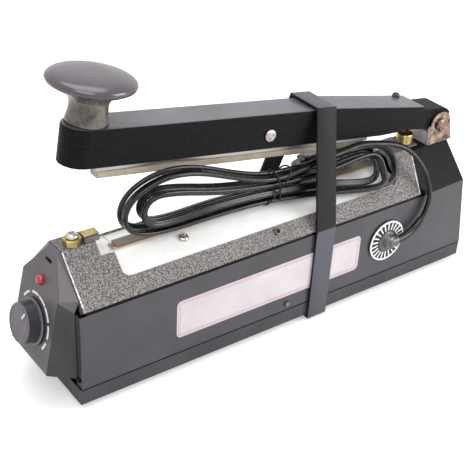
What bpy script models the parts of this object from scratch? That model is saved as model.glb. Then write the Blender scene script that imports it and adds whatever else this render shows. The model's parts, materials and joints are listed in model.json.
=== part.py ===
# A hand-operated heat sealer with a 200 mm seal. Its arm is strapped down over its own stowed cord.
# All lengths are in metres. The body's own frame has its origin under the middle of the tray,
# with +X towards the hinge and +Z up. The far side is at +Y, the side with the cord outlet at -Y.

import math

import bmesh
import bpy
import numpy as np
from mathutils import Matrix, Vector

# General sizes
seam = 0.0003
sheet = 0.0012
cut_overrun = 0.004
round_steps = 32
small_steps = 16
tiny_steps = 12
opaque = 1.0
half = 0.5
smooth_angle = math.radians(35)
quarter_turn = math.radians(90)
edge_steps = 2
sharp_fold = math.radians(57)
route_samples = 24
gap_spread = 4
gap_skip = 12
mm_per_metre = 1000

# Where the body stands: the feet lift it, and the frame's middle is the middle of the whole part
body_shift = 0.0117
foot_height = 0.0040
foot_radius = 0.0065
foot_edge = 0.0009
foot_inset_x = 0.0150
foot_inset_y = 0.0100

# Tray, housing and cover
base_length = 0.3000
base_width = 0.0620
tray_height = 0.0104
shoulder_height = 0.0620
roof_angle = math.radians(46.7)
housing_setback = 0.0012
housing_rear_lean = 0.0075
front_flange = 0.0065
lip_width = 0.0060
tower_half = 0.0110
edge_gap = 0.0005
cover_setback = 0.0041
cover_foot_rear_setback = 0.0476
cover_rear_lean = 0.0077
front_top_half = 0.0068
front_top_length = 0.0209
rear_top_half = 0.0096
ledge_length = 0.0085
ledge_rise = 0.0269
cutout_rise = 0.0115
cutout_rear_setback = 0.0620
cutout_radius = 0.0045
cover_flange = 0.0060
fillet_steps = 4

# Sealing ridge
plate_sheet = 0.0010
plate_overlap = 0.0025
plate_front_overlap = 0.0115
plate_bend_half = 0.0222
ridge_height = 0.0752
ridge_half = 0.0045
strip_stack_half = 0.0036
insulator_thickness = 0.0009
insulator_overlap = 0.0022
ribbon_thickness = 0.0003
ribbon_half = 0.0012
cloth_thickness = 0.0004
cloth_front_setback = 0.0402
cloth_rear_setback = 0.0665
riser_gap = 0.0004

# Terminals at the two ends of the heating strip
terminal_y = -0.0030
front_nut_setback = 0.0128
front_nut_flat = 0.0095
front_nut_height = 0.0043
terminal_head_radius = 0.0036
terminal_head_height = 0.0023
terminal_shank_radius = 0.0020
terminal_shank_length = 0.0100
block_front_setback = 0.0185
block_rear_setback = 0.0277
block_half = 0.0040
block_height = 0.0033
tab_thickness = 0.0008
tab_half = 0.0030
rear_terminal_setback = 0.0405
rear_bush_radius = 0.0055
rear_bush_height = 0.0072
rear_base_half = 0.0062
rear_base_height = 0.0012
rear_bore_radius = 0.0023

# Front end cap with the lamp and the dial
cap_wall = 0.0015
cap_half = 0.0260
cap_foot_height = 0.0152
cap_step_height = 0.0603
cap_shoulder_rise = 0.0061
face_foot_reach = 0.0158
face_foot_half = 0.0220
face_foot_height = 0.0215
face_shoulder_reach = 0.0062
face_shoulder_half = 0.0210
face_top_setback = 0.0020
face_top_half = 0.0045
face_top_rise = 0.0196
cap_edge = 0.0008
dial_drop = 0.0224
lamp_rise = 0.0028
lamp_radius = 0.0025
lamp_rim = 0.0008
lamp_body = 0.0050
lamp_dome = 0.0026
slot_rise = 0.0140
slot_length = 0.0070
slot_width = 0.0020

# Timer dial. Its knob's pointer is turned clockwise from the top.
knob_skirt_radius = 0.0140
knob_skirt_height = 0.0018
knob_radius = 0.0123
knob_height = 0.0096
knob_edge = 0.0006
knob_draft = 0.0005
knob_bore_depth = 0.0077
shaft_radius = 0.0030
pointer_angle = math.radians(31)
pointer_width = 0.0012
pointer_depth = 0.0005
pointer_inner = 0.0035
pot_radius = 0.0085
pot_depth = 0.0090

# Inside the body
transformer_length = 0.0500
transformer_width = 0.0300
transformer_height = 0.0420
core_limb = 0.0085
coil_wall = 0.0085
board_length = 0.0520
board_width = 0.0420
board_thickness = 0.0016
board_height = 0.0085
board_leg = 0.0050
board_setback = 0.0700

# Screws
screw_head_radius = 0.0032
screw_head_height = 0.0018
screw_shank_radius = 0.0015
screw_shank_length = 0.0050
plate_screw_front_setback = 0.0804
plate_screw_rear_setback = 0.0984
plate_screw_half = 0.0100
cover_screw_x = -0.0128
cover_screw_rise = 0.0077
side_screw_x = -0.0049
side_screw_height = 0.0150
cap_screw_height = 0.0160
cap_screw_head_radius = 0.0018
cap_screw_head_height = 0.0010
cap_screw_shank_radius = 0.0009

# Hinge
pivot_setback = 0.0162
pivot_rise = 0.01348
bracket_ear_end = math.radians(26)
bracket_sheet = 0.0015
bracket_half = 0.0110
bracket_front_setback = 0.0260
bracket_rear_setback = 0.0038
bracket_lip_height = 0.0095
bracket_lip_half = 0.0090
ear_radius = 0.0090
ear_steps = 9
pin_radius = 0.0025
pin_head_radius = 0.0045
pin_head_height = 0.0022
nut_radius = 0.0046
nut_height = 0.0032
bush_wall = 0.0013
bush_half = 0.0060
spring_wire = 0.0007
spring_turns = 3.5
spring_points = 10
spring_pitch = 0.0021
spring_leg = 0.0100

# Arm. It rests 9 degrees up, on the stowed cord.
arm_tilt = math.radians(9)
arm_half = 0.0110
arm_wall = 0.0015
arm_nose = -0.2785
arm_top = 0.0184
arm_bottom = -0.0032
arm_taper_start = -0.0970
arm_tail_top_x = -0.0204
arm_tail_top = 0.0139
arm_tail_bottom_x = -0.0140
arm_tail_bottom = 0.0000
arm_step_front = -0.0550
arm_step_rear = -0.0380
arm_step_bottom = -0.0020
arm_edge = 0.0012
nose_steps = 8
tang_gap = 0.0003
tang_sheet = 0.0017
tang_front = -0.0480
tang_bottom = -0.0010
tang_top = 0.0112
tang_front_top = 0.0105
tang_heel_radius = 0.0080
tang_heel_start = math.radians(205)
bar_front = -0.2584
bar_rear = -0.0600
bar_half = 0.0050
bar_top = 0.0080
bar_foot = -0.0085
silicone_half = 0.0042
silicone_foot = -0.0132
silicone_inset = 0.0020
silicone_edge = 0.0010
arm_screw_x = -0.1480
arm_screw_height = 0.0052
arm_screw_head_radius = 0.0040
arm_screw_head_height = 0.0016

# Handle
handle_x = -0.2645
handle_radius = 0.0240
handle_rim_height = 0.0221
handle_rim_half = 0.0022
handle_crown = 0.0052
handle_foot_radius = 0.0118
handle_waist_radius = 0.0104
handle_waist_height = 0.0090
handle_neck_radius = 0.0125
handle_neck_height = 0.0150
handle_bore_depth = 0.0160
handle_screw_radius = 0.0025
handle_screw_head_radius = 0.0048
handle_screw_head_height = 0.0026

# Transport strap
strap_width = 0.0150
strap_thickness = 0.0018
strap_foot_x = 0.0195
strap_shoulder_x = 0.0205
strap_top_x = 0.0290

# Cord outlet on the near side
gland_x = 0.0753
gland_height = 0.0360
gland_radius = 0.0145
gland_disc = 0.0012
gland_hub_radius = 0.0055
gland_hub_height = 0.0053
gland_barrel_radius = 0.0060
gland_barrel_length = 0.0080
gland_sleeve = 0.0060
gland_sleeve_half = 0.0030

# Cord. Its route's points are chosen by hand and follow the real cord.
cord_radius = 0.0022
cord_side_steps = 2
cord_run = 0.0050
hank_side_steps = 1
lead_points = 56
tail_points = 18
lead_route = (
    (0.0806, -0.0352, 0.0360),
    (0.0856, -0.0352, 0.0361),
    (0.0960, -0.0350, 0.0395),
    (0.1048, -0.0346, 0.0490),
    (0.1078, -0.0342, 0.0600),
    (0.1068, -0.0330, 0.0690),
    (0.1045, -0.0300, 0.0780),
    (0.1005, -0.0255, 0.0862),
    (0.0950, -0.0210, 0.0925),
    (0.0860, -0.0172, 0.0970),
    (0.0750, -0.0150, 0.0995),
    (0.0640, -0.0150, 0.1022),
    (0.0560, -0.0155, 0.1034),
)

# The hank: four loops, drawn in at the waist and opened at both ends. Its angles run from the
# right end over the top. It goes from the near outer row to the near inner, the far inner and the
# far outer one, and changes rows on the lower run right of the waist.
hank_loop_points = 24
hank_waist = (-0.0039, -0.0088, 0.0882)
hank_start = math.radians(58)
hank_end = math.radians(1361)
hank_to_inner = (math.radians(326), math.radians(36))
hank_to_far = (math.radians(662), math.radians(36))
hank_to_outer = (math.radians(1000), math.radians(34))
hank_reach_left = (0.0950, 0.1070)
hank_reach_right = (0.0810, 0.0950)
hank_bulge_left = (0.0140, 0.0260)
hank_bulge_right = (0.0060, 0.0140)
hank_crest = 0.0460
hank_row = 0.0056
hank_column = 0.00505
hank_lean = math.radians(101)
hank_twist_per_metre = math.radians(-450)
hank_left_rise_share = -0.125
hank_right_rise_share = -0.040
hank_right_spread_share = -0.100
hank_entry_lift = (0, -0.0020, 0.0060)
hank_entry_span = math.radians(36)
hank_spill = 0.0070
hank_spill_share = 0.9
tie_width = 0.0040
tie_thickness = 0.0007
tie_steps = 4
tie_slack = 0.0009
tie_side = -0.0005
tie_lift = 0.0011
tail_route = (
    (0.0200, -0.0040, 0.0810),
    (0.0270, 0.0025, 0.0822),
    (0.0320, 0.0100, 0.0820),
    (0.0355, 0.0145, 0.0812),
)

# Plug, lying on the far side of the ridge
plug_length = 0.0300
plug_width = 0.0240
plug_thickness = 0.0130
plug_rear_x = 0.0400
plug_pin_radius = 0.0020
plug_pin_length = 0.0170
plug_pin_spacing = 0.0186
plug_edge = 0.0020
plug_y = 0.0165
plug_height = 0.0804
plug_lean = math.radians(-20.6)

# Places that follow from the sizes above
half_length = base_length * half
half_width = base_width * half
roof_cos = math.cos(roof_angle)
roof_sin = math.sin(roof_angle)
housing_foot = tray_height + seam
housing_front_x = housing_setback - half_length
face_foot_x = -half_length - face_foot_reach
face_shoulder_x = -half_length - face_shoulder_reach
face_top_x = face_top_setback - half_length
board_x = board_setback - half_length
plate_screw_front_x = plate_screw_front_setback - half_length
plate_screw_rear_x = half_length - plate_screw_rear_setback
cloth_front = cloth_front_setback - half_length
cloth_rear = half_length - cloth_rear_setback
front_nut_x = front_nut_setback - half_length
block_front = block_front_setback - half_length
block_rear = block_rear_setback - half_length
rear_terminal_x = half_length - rear_terminal_setback
pivot_x = half_length - pivot_setback
bracket_front = half_length - bracket_front_setback
bracket_rear = half_length - bracket_rear_setback
cap_screw_half = cap_half + seam + cap_screw_head_radius
cover_front_x = cover_setback - half_length
front_top_rear_x = cover_front_x + front_top_length
cutout_front_x = front_top_rear_x + ledge_length
cutout_rear_x = half_length - cutout_rear_setback
cover_foot_rear_x = half_length - cover_foot_rear_setback
lip_depth = sheet + seam
cap_shoulder_height = cap_step_height + cap_shoulder_rise
face_top_height = cap_shoulder_height + face_top_rise
dial_height = cap_shoulder_height - dial_drop
lamp_height = cap_shoulder_height + lamp_rise
slot_height = cap_shoulder_height + slot_rise
tower_height = shoulder_height + (half_width - tower_half) * roof_sin / roof_cos
pivot_height = tower_height + pivot_rise


def roof_height(y, depth=0.0):
    """Height of the roof's slope at this distance from the middle, this deep under its outer face."""
    return shoulder_height + (half_width - abs(y)) * roof_sin / roof_cos - depth / roof_cos


def roof_place(rise, depth):
    """(y, z) of a point this far up the roof's slope from the shoulder, this deep under its outer face."""
    y = half_width - rise * roof_cos - depth * roof_sin
    return y, shoulder_height + rise * roof_sin - depth * roof_cos


def roof_rise(y, depth=0.0):
    return (half_width - depth * roof_sin - y) / roof_cos


def clear_scene():
    for obj in list(bpy.data.objects):
        bpy.data.objects.remove(obj, do_unlink=True)


def add_finish(obj, color, roughness, metallic=0.0):
    material = bpy.data.materials.new(obj.name + "_finish")
    material.use_nodes = True
    shader = material.node_tree.nodes["Principled BSDF"]
    shader.inputs["Base Color"].default_value = (*color, opaque)
    shader.inputs["Roughness"].default_value = roughness
    shader.inputs["Metallic"].default_value = metallic
    obj.data.materials.append(material)


def place(obj, parent, location=(0, 0, 0), rotation=(0, 0, 0)):
    obj.parent = parent
    obj.location = location
    obj.rotation_euler = rotation


def add_empty(name, parent, location, rotation=(0, 0, 0)):
    empty = bpy.data.objects.new(name, None)
    bpy.context.scene.collection.objects.link(empty)
    place(empty, parent, location, rotation)
    return empty


def add_piece(name, shape, parent, location=(0, 0, 0), rotation=(0, 0, 0), smooth=True):
    mesh = bpy.data.meshes.new(name)
    shape.to_mesh(mesh)
    shape.free()
    if smooth:
        mesh.shade_smooth()
        mesh.set_sharp_from_angle(angle=smooth_angle)
    obj = bpy.data.objects.new(name, mesh)
    bpy.context.scene.collection.objects.link(obj)
    place(obj, parent, location, rotation)
    return obj


def along(axis, offset, u, v):
    if axis == "X":
        return offset, u, v
    if axis == "Y":
        return u, offset, v
    return u, v, offset


def prism(outline, axis, start, end):
    """An outline in the plane across the axis, drawn out along it from start to end."""
    shape = bmesh.new()
    first = [shape.verts.new(along(axis, start, u, v)) for u, v in outline]
    last = [shape.verts.new(along(axis, end, u, v)) for u, v in outline]
    shape.faces.new(first)
    shape.faces.new(last)
    for here in range(len(outline)):
        after = (here + 1) % len(outline)
        shape.faces.new((first[here], first[after], last[after], last[here]))
    bmesh.ops.recalc_face_normals(shape, faces=shape.faces)
    return shape


def rectangle(u_start, u_end, v_start, v_end):
    return [(u_start, v_start), (u_end, v_start), (u_end, v_end), (u_start, v_end)]


def block(x_start, x_end, y_start, y_end, z_start, z_end):
    return prism(rectangle(x_start, x_end, y_start, y_end), "Z", z_start, z_end)


def turned(profile, steps):
    """A profile of (radius, height) pairs, turned about Z. It is a closed ring unless it starts on the axis."""
    shape = bmesh.new()
    rings = []
    for radius, height in profile:
        count = steps if radius > 0 else 1
        angles = [math.tau * step / steps for step in range(count)]
        rings.append([shape.verts.new((radius * math.cos(a), radius * math.sin(a), height)) for a in angles])
    pairs = list(zip(rings, rings[1:]))
    if profile[0][0] > 0:
        pairs.append((rings[-1], rings[0]))
    for lower, upper in pairs:
        for step in range(steps):
            after = (step + 1) % steps
            corners = [lower[step % len(lower)], lower[after % len(lower)]]
            corners += [upper[after % len(upper)], upper[step % len(upper)]]
            corners = list(dict.fromkeys(corners))
            if len(corners) > 2:
                shape.faces.new(corners)
    bmesh.ops.recalc_face_normals(shape, faces=shape.faces)
    return shape


def folded(panels, outward_from):
    """An open sheet of flat panels that share their folds, its faces turned away from the given point."""
    shape = bmesh.new()
    corners = {}
    for panel in panels:
        keys = [tuple(round(value, 7) for value in point) for point in panel]
        for key in keys:
            if key not in corners:
                corners[key] = shape.verts.new(key)
        shape.faces.new([corners[key] for key in dict.fromkeys(keys)])
    bmesh.ops.recalc_face_normals(shape, faces=shape.faces)
    middle = Vector(outward_from)
    facing = sum(f.calc_area() * f.normal.dot(f.calc_center_median() - middle) for f in shape.faces)
    if facing < 0:
        bmesh.ops.reverse_faces(shape, faces=shape.faces)
    return shape


def thicken(obj, thickness):
    """Gives a folded sheet its thickness, inwards from its outer face."""
    modifier = obj.modifiers.new("Sheet", "SOLIDIFY")
    modifier.thickness = thickness
    modifier.offset = -1
    modifier.solidify_mode = "NON_MANIFOLD"
    modifier.nonmanifold_thickness_mode = "CONSTRAINTS"
    modifier.nonmanifold_boundary_mode = "NONE"
    modifier.nonmanifold_merge_threshold = 0


def mirrored(points):
    return [(x, -y, z) for x, y, z in points]


def fillet(before, corner, after, radius):
    """The points of an arc that rounds the corner between two straight edges."""
    corner = Vector(corner)
    to_before = (Vector(before) - corner).normalized()
    to_after = (Vector(after) - corner).normalized()
    opening = to_before.angle(to_after)
    reach = radius / math.tan(opening * half)
    start = corner + to_before * reach
    middle = (to_before + to_after).normalized()
    center = corner + middle * (radius / math.sin(opening * half))
    first = start - center
    turn = math.pi - opening
    side = 1 if first.x * to_before.y - first.y * to_before.x < 0 else -1
    points = []
    for step in range(fillet_steps + 1):
        angle = side * turn * step / fillet_steps
        points.append(
            (
                center.x + first.x * math.cos(angle) - first.y * math.sin(angle),
                center.y + first.x * math.sin(angle) + first.y * math.cos(angle),
            )
        )
    return points


def arc(center, radius, start, end, steps):
    angles = [start + (end - start) * step / steps for step in range(steps + 1)]
    return [(center[0] + radius * math.cos(a), center[1] + radius * math.sin(a)) for a in angles]


def facing(direction):
    """The rotation that turns +Z to this direction."""
    return Vector(direction).to_track_quat("Z", "Y").to_euler()


def drill(obj, holes, steps=small_steps):
    """Cuts round holes, each a centre, a direction, a radius and a length, all in the piece's own frame."""
    shape = bmesh.new()
    for center, direction, radius, length in holes:
        matrix = Matrix.Translation(center) @ facing(direction).to_matrix().to_4x4()
        bmesh.ops.create_cone(
            shape, cap_ends=True, segments=steps, radius1=radius, radius2=radius, depth=length, matrix=matrix
        )
    bmesh.ops.recalc_face_normals(shape, faces=shape.faces)
    carve(obj, shape)


def carve(obj, shape, operation="DIFFERENCE"):
    cutter = add_piece(obj.name + "_cutter", shape, obj, smooth=False)
    cutter.hide_render = True
    cutter.display_type = "WIRE"
    modifier = obj.modifiers.new("Cut", "BOOLEAN")
    modifier.operation = operation
    modifier.solver = "EXACT"
    modifier.object = cutter


def screw_profile(head_radius, head_height, shank_radius, shank_length):
    """A pan head with its shank, its seat at height 0. The crown's two steps are shares of the head."""
    crown_shares = ((1.0, 0.45), (0.72, 0.88))
    points = [(0, -shank_length), (shank_radius, -shank_length), (shank_radius, 0), (head_radius, 0)]
    points += [(head_radius * out, head_height * up) for out, up in crown_shares]
    return points + [(0, head_height)]


def add_screw(name, parent, seat, direction, sizes, color=(0.62, 0.60, 0.57), metallic=1.0):
    """A screw whose head stands a seam off its seat."""
    direction = Vector(direction).normalized()
    location = Vector(seat) + direction * seam
    shape = turned(screw_profile(*sizes), tiny_steps)
    obj = add_piece(name, shape, parent, location, facing(direction))
    add_finish(obj, color, 0.35, metallic)
    return obj


def make_tray(body):
    outline = rectangle(-half_length, half_length, -half_width, half_width)
    bottom = [(x, y, 0) for x, y in outline]
    top = [(x, y, tray_height) for x, y in outline]
    panels = [bottom]
    for here in range(len(outline)):
        after = (here + 1) % len(outline)
        panels.append([bottom[here], bottom[after], top[after], top[here]])
    obj = add_piece("base_tray", folded(panels, (0, 0, tray_height)), body, smooth=False)
    thicken(obj, sheet)
    add_finish(obj, (0.035, 0.032, 0.035), 0.45)


def make_feet(body):
    profile = [
        (0, -foot_height),
        (foot_radius - foot_edge, -foot_height),
        (foot_radius, foot_edge - foot_height),
        (foot_radius, -seam),
        (0, -seam),
    ]
    for along_name, along_side in (("front", -1), ("rear", 1)):
        for across_name, across_side in (("near", -1), ("far", 1)):
            x = along_side * (half_length - foot_inset_x)
            y = across_side * (half_width - foot_inset_y)
            name = "foot_" + along_name + "_" + across_name
            obj = add_piece(name, turned(profile, small_steps), body, (x, y, 0))
            add_finish(obj, (0.02, 0.02, 0.02), 0.8)


def housing_places():
    """The housing's x places: its leaning rear edge and the leaning front edge of its rear tower."""
    rear_top_x = half_length - housing_rear_lean
    tower_foot_x = cover_foot_rear_x + edge_gap
    lean_share = roof_rise(tower_half) / roof_rise(rear_top_half)
    return rear_top_x, tower_foot_x, tower_foot_x + cover_rear_lean * lean_share


def make_housing(body):
    rear_top_x, tower_foot_x, tower_top_x = housing_places()
    tower_top = tower_height
    lip_height = roof_height(half_width, lip_depth)
    lip_front_x = cover_front_x + sheet + seam
    lip_y, lip_z = roof_place(lip_width, lip_depth)
    wall = [
        (housing_front_x, half_width, housing_foot),
        (half_length, half_width, housing_foot),
        (rear_top_x, half_width, shoulder_height),
        (tower_foot_x, half_width, shoulder_height),
        (tower_foot_x, half_width, lip_height),
        (lip_front_x, half_width, lip_height),
        (housing_front_x, half_width, lip_height),
    ]
    flange = [
        (housing_front_x, half_width, housing_foot),
        (housing_front_x, half_width - front_flange, housing_foot),
        (housing_front_x, half_width - front_flange, lip_height),
        (housing_front_x, half_width, lip_height),
    ]
    lip = [
        (lip_front_x, half_width, lip_height),
        (tower_foot_x, half_width, lip_height),
        (tower_foot_x, lip_y, lip_z),
        (lip_front_x, lip_y, lip_z),
    ]
    roof = [
        (tower_foot_x, half_width, shoulder_height),
        (rear_top_x, half_width, shoulder_height),
        (rear_top_x, tower_half, tower_top),
        (tower_top_x, tower_half, tower_top),
    ]
    top = [
        (tower_top_x, tower_half, tower_top),
        (rear_top_x, tower_half, tower_top),
        (rear_top_x, -tower_half, tower_top),
        (tower_top_x, -tower_half, tower_top),
    ]
    one_side = [wall, flange, lip, roof]
    panels = one_side + [mirrored(panel) for panel in one_side] + [top]
    obj = add_piece("side_housing", folded(panels, (0, 0, tray_height)), body, smooth=False)
    thicken(obj, sheet)
    reach = sheet + cut_overrun
    holes = [((gland_x, -half_width, gland_height), (0, 1, 0), gland_barrel_radius + seam, reach)]
    for side in (-1, 1):
        screw_hole = screw_shank_radius + seam
        holes.append(((side_screw_x, side * half_width, side_screw_height), (0, 1, 0), screw_hole, reach))
        cap_hole = cap_screw_shank_radius + seam
        holes.append(((housing_front_x, side * cap_screw_half, cap_screw_height), (1, 0, 0), cap_hole, reach))
    for x in bracket_screw_places():
        holes.append(((x, 0, tower_top), (0, 0, 1), screw_shank_radius + seam, reach))
    drill(obj, holes)
    add_finish(obj, (0.045, 0.040, 0.045), 0.32)


def make_rear_plate(body):
    rear_top_x = housing_places()[0]
    inset = sheet + seam
    side_y = half_width - inset
    side_z = roof_height(side_y, inset)
    top_z = tower_height - inset
    top_y = half_width - (top_z - roof_height(half_width, inset)) * roof_cos / roof_sin
    lower = [
        (half_length, side_y, housing_foot),
        (rear_top_x, side_y, side_z),
        (rear_top_x, -side_y, side_z),
        (half_length, -side_y, housing_foot),
    ]
    upper = [
        (rear_top_x, side_y, side_z),
        (rear_top_x, top_y, top_z),
        (rear_top_x, -top_y, top_z),
        (rear_top_x, -side_y, side_z),
    ]
    obj = add_piece("rear_end_plate", folded([lower, upper], (0, 0, side_z)), body, smooth=False)
    thicken(obj, sheet)
    add_finish(obj, (0.045, 0.040, 0.045), 0.32)


def cover_outline():
    """One slope of the cover as (x, rise) pairs, with the cut-out for the sealing ridge."""
    front_rise = roof_rise(front_top_half)
    rear_rise = roof_rise(rear_top_half)
    flange_rise = front_rise - cover_flange
    corner_front = (cutout_front_x, cutout_rise)
    corner_rear = (cutout_rear_x, cutout_rise)
    points = [(cover_front_x, 0), (cover_front_x, flange_rise), (cover_front_x, front_rise)]
    points += [(front_top_rear_x, front_rise), (front_top_rear_x, ledge_rise), (cutout_front_x, ledge_rise)]
    points += fillet((cutout_front_x, ledge_rise), corner_front, corner_rear, cutout_radius)
    points += fillet(corner_front, corner_rear, (cutout_rear_x, rear_rise), cutout_radius)
    points += [(cutout_rear_x, rear_rise), (cover_foot_rear_x + cover_rear_lean, rear_rise)]
    return points + [(cover_foot_rear_x, 0)]


def make_cover(body):
    front_rise = roof_rise(front_top_half)
    flange_rise = front_rise - cover_flange
    front_top = roof_height(front_top_half)
    rear_top = roof_height(rear_top_half)
    slope = [(x, *roof_place(rise, 0)) for x, rise in cover_outline()]
    flange = [
        (cover_front_x, *roof_place(0, 0)),
        (cover_front_x, *roof_place(flange_rise, 0)),
        (cover_front_x, *roof_place(flange_rise, cover_flange)),
        (cover_front_x, *roof_place(0, cover_flange)),
    ]
    front = [
        (cover_front_x, *roof_place(front_rise, 0)),
        (front_top_rear_x, *roof_place(front_rise, 0)),
        (front_top_rear_x, -front_top_half, front_top),
        (cover_front_x, -front_top_half, front_top),
    ]
    rear_x = cover_foot_rear_x + cover_rear_lean
    rear = [
        (cutout_rear_x, rear_top_half, rear_top),
        (rear_x, rear_top_half, rear_top),
        (rear_x, -rear_top_half, rear_top),
        (cutout_rear_x, -rear_top_half, rear_top),
    ]
    one_side = [slope, flange]
    panels = one_side + [mirrored(panel) for panel in one_side] + [front, rear]
    obj = add_piece("top_cover", folded(panels, (0, 0, 0)), body, smooth=False)
    thicken(obj, sheet)
    reach = sheet + cut_overrun
    screw_hole = screw_shank_radius + seam
    holes = []
    for side in (-1, 1):
        y, z = roof_place(cover_screw_rise, 0)
        holes.append(((cover_screw_x, side * y, z), (0, side * roof_sin, roof_cos), screw_hole, reach))
    nut_hole = terminal_shank_radius + seam
    holes.append(((front_nut_x, terminal_y, front_top), (0, 0, 1), nut_hole, reach))
    drill(obj, holes)
    add_finish(obj, (0.13, 0.12, 0.12), 0.4)


def plate_slope_height(y):
    """Height of the white plate's upper face between its ridge and its bend."""
    bend_height = roof_height(plate_bend_half, lip_depth)
    share = (y - ridge_half) / (plate_bend_half - ridge_half)
    return ridge_height + (bend_height - ridge_height) * share


def make_platform(body):
    lip_rise = lip_width + edge_gap
    section = [
        roof_place(lip_rise, lip_depth),
        (plate_bend_half, roof_height(plate_bend_half, lip_depth)),
        (ridge_half, ridge_height),
    ]
    section += [(-y, z) for y, z in reversed(section)]
    start = cutout_front_x - plate_front_overlap
    end = cutout_rear_x + plate_overlap
    panels = []
    for (y, z), (next_y, next_z) in zip(section, section[1:]):
        panels.append([(start, y, z), (end, y, z), (end, next_y, next_z), (start, next_y, next_z)])
    obj = add_piece("platform_plate", folded(panels, (0, 0, 0)), body, smooth=False)
    thicken(obj, plate_sheet)
    reach = sheet + cut_overrun
    screw_hole = screw_shank_radius + seam
    holes = []
    for side in (-1, 1):
        y, z = roof_place(cover_screw_rise, lip_depth)
        holes.append(((cover_screw_x, side * y, z), (0, side * roof_sin, roof_cos), screw_hole, reach))
        for x in (plate_screw_front_x, plate_screw_rear_x):
            z = plate_slope_height(plate_screw_half)
            holes.append(((x, side * plate_screw_half, z), plate_normal(side), screw_hole, reach))
    drill(obj, holes)
    add_finish(obj, (0.85, 0.85, 0.83), 0.4)


def plate_normal(side):
    drop = ridge_height - roof_height(plate_bend_half, lip_depth)
    return Vector((0, side * drop, plate_bend_half - ridge_half)).normalized()


def ribbon(points, thickness):
    """The outline of a band of this thickness, centred on a path of straight runs."""
    offsets = []
    for here, point in enumerate(points):
        before = Vector(point) - Vector(points[max(here - 1, 0)])
        after = Vector(points[min(here + 1, len(points) - 1)]) - Vector(point)
        if before.length == 0:
            before = after
        if after.length == 0:
            after = before
        across_before = Vector((-before.y, before.x)).normalized()
        across_after = Vector((-after.y, after.x)).normalized()
        across = (across_before + across_after).normalized()
        offsets.append(across * (thickness * half / across.dot(across_before)))
    upper = [tuple(Vector(point) + offset) for point, offset in zip(points, offsets)]
    lower = [tuple(Vector(point) - offset) for point, offset in zip(points, offsets)]
    return upper + lower[::-1]


def make_sealing_strip(body):
    insulator_foot = ridge_height + seam
    insulator_top = insulator_foot + insulator_thickness
    start = cloth_front - insulator_overlap
    end = cloth_rear + insulator_overlap
    shape = block(start, end, -strip_stack_half, strip_stack_half, insulator_foot, insulator_top)
    obj = add_piece("ridge_insulator", shape, body, smooth=False)
    add_finish(obj, (0.55, 0.42, 0.28), 0.6)
    ribbon_height = insulator_top + seam + ribbon_thickness * half
    block_top = roof_height(front_top_half) + seam + block_height
    front_turn = cloth_front - riser_gap
    rear_turn = cloth_rear + riser_gap
    rear_level = roof_height(rear_top_half) + seam + ribbon_thickness * half
    rear_rise_x = cutout_rear_x - sheet
    path = [
        (block_rear + seam + ribbon_thickness, block_top + ribbon_thickness * half),
        (block_rear + seam * 2 + ribbon_thickness * 2, block_top - block_height * half),
        (front_turn, ribbon_height),
        (rear_turn, ribbon_height),
        (rear_rise_x, rear_level),
        (rear_terminal_x - rear_base_half - seam, rear_level),
    ]
    shape = prism(ribbon(path, ribbon_thickness), "Y", -ribbon_half, ribbon_half)
    obj = add_piece("heating_strip", shape, body, smooth=False)
    add_finish(obj, (0.45, 0.44, 0.42), 0.4, 1.0)
    cloth_foot = insulator_top + seam * 2 + ribbon_thickness
    cloth_top = cloth_foot + cloth_thickness
    shape = block(cloth_front, cloth_rear, -strip_stack_half, strip_stack_half, cloth_foot, cloth_top)
    obj = add_piece("sealing_cloth", shape, body, smooth=False)
    add_finish(obj, (0.74, 0.70, 0.62), 0.55)


def make_front_terminal(body):
    seat = roof_height(front_top_half) + seam
    y_start = terminal_y - block_half
    y_end = terminal_y + block_half
    shape = block(block_front, block_rear, y_start, y_end, seat, seat + block_height)
    obj = add_piece("terminal_block", shape, body, smooth=False)
    add_finish(obj, (0.10, 0.055, 0.035), 0.5)
    tab_foot = seat + block_height + seam
    shape = block(
        block_front, block_rear, terminal_y - tab_half, terminal_y + tab_half, tab_foot, tab_foot + tab_thickness
    )
    obj = add_piece("terminal_tab", shape, body, smooth=False)
    add_finish(obj, (0.62, 0.47, 0.20), 0.35, 1.0)
    bore = terminal_shank_radius + seam
    corner = front_nut_flat * half / math.cos(math.pi / 6)
    profile = [(bore, 0), (corner, 0), (corner, front_nut_height), (bore, front_nut_height)]
    turn = (0, 0, math.pi / 6)
    obj = add_piece("terminal_nut_front", hex_ring(profile), body, (front_nut_x, terminal_y, seat), turn, False)
    add_finish(obj, (0.62, 0.50, 0.24), 0.3, 1.0)
    sizes = (terminal_head_radius, terminal_head_height, terminal_shank_radius, terminal_shank_length)
    add_screw("terminal_screw", body, (front_nut_x, terminal_y, seat + front_nut_height), (0, 0, 1), sizes)


def hex_ring(profile):
    """A six-sided ring with a round bore: the first and last points of the profile are the bore's."""
    (bore, foot), (corner, _), (_, top), _ = profile
    steps = tiny_steps
    shape = bmesh.new()
    rings = []
    for height in (foot, top):
        inner = []
        outer = []
        for step in range(steps):
            angle = math.tau * step / steps
            inner.append(shape.verts.new((bore * math.cos(angle), bore * math.sin(angle), height)))
            reach = corner if step % 2 == 0 else corner * math.cos(math.pi / 6)
            outer.append(shape.verts.new((reach * math.cos(angle), reach * math.sin(angle), height)))
        rings.append((inner, outer))
    (low_inner, low_outer), (high_inner, high_outer) = rings
    for step in range(steps):
        after = (step + 1) % steps
        for first, last in (
            (low_inner, low_outer),
            (low_outer, high_outer),
            (high_outer, high_inner),
            (high_inner, low_inner),
        ):
            shape.faces.new((first[step], first[after], last[after], last[step]))
    bmesh.ops.recalc_face_normals(shape, faces=shape.faces)
    return shape


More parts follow.
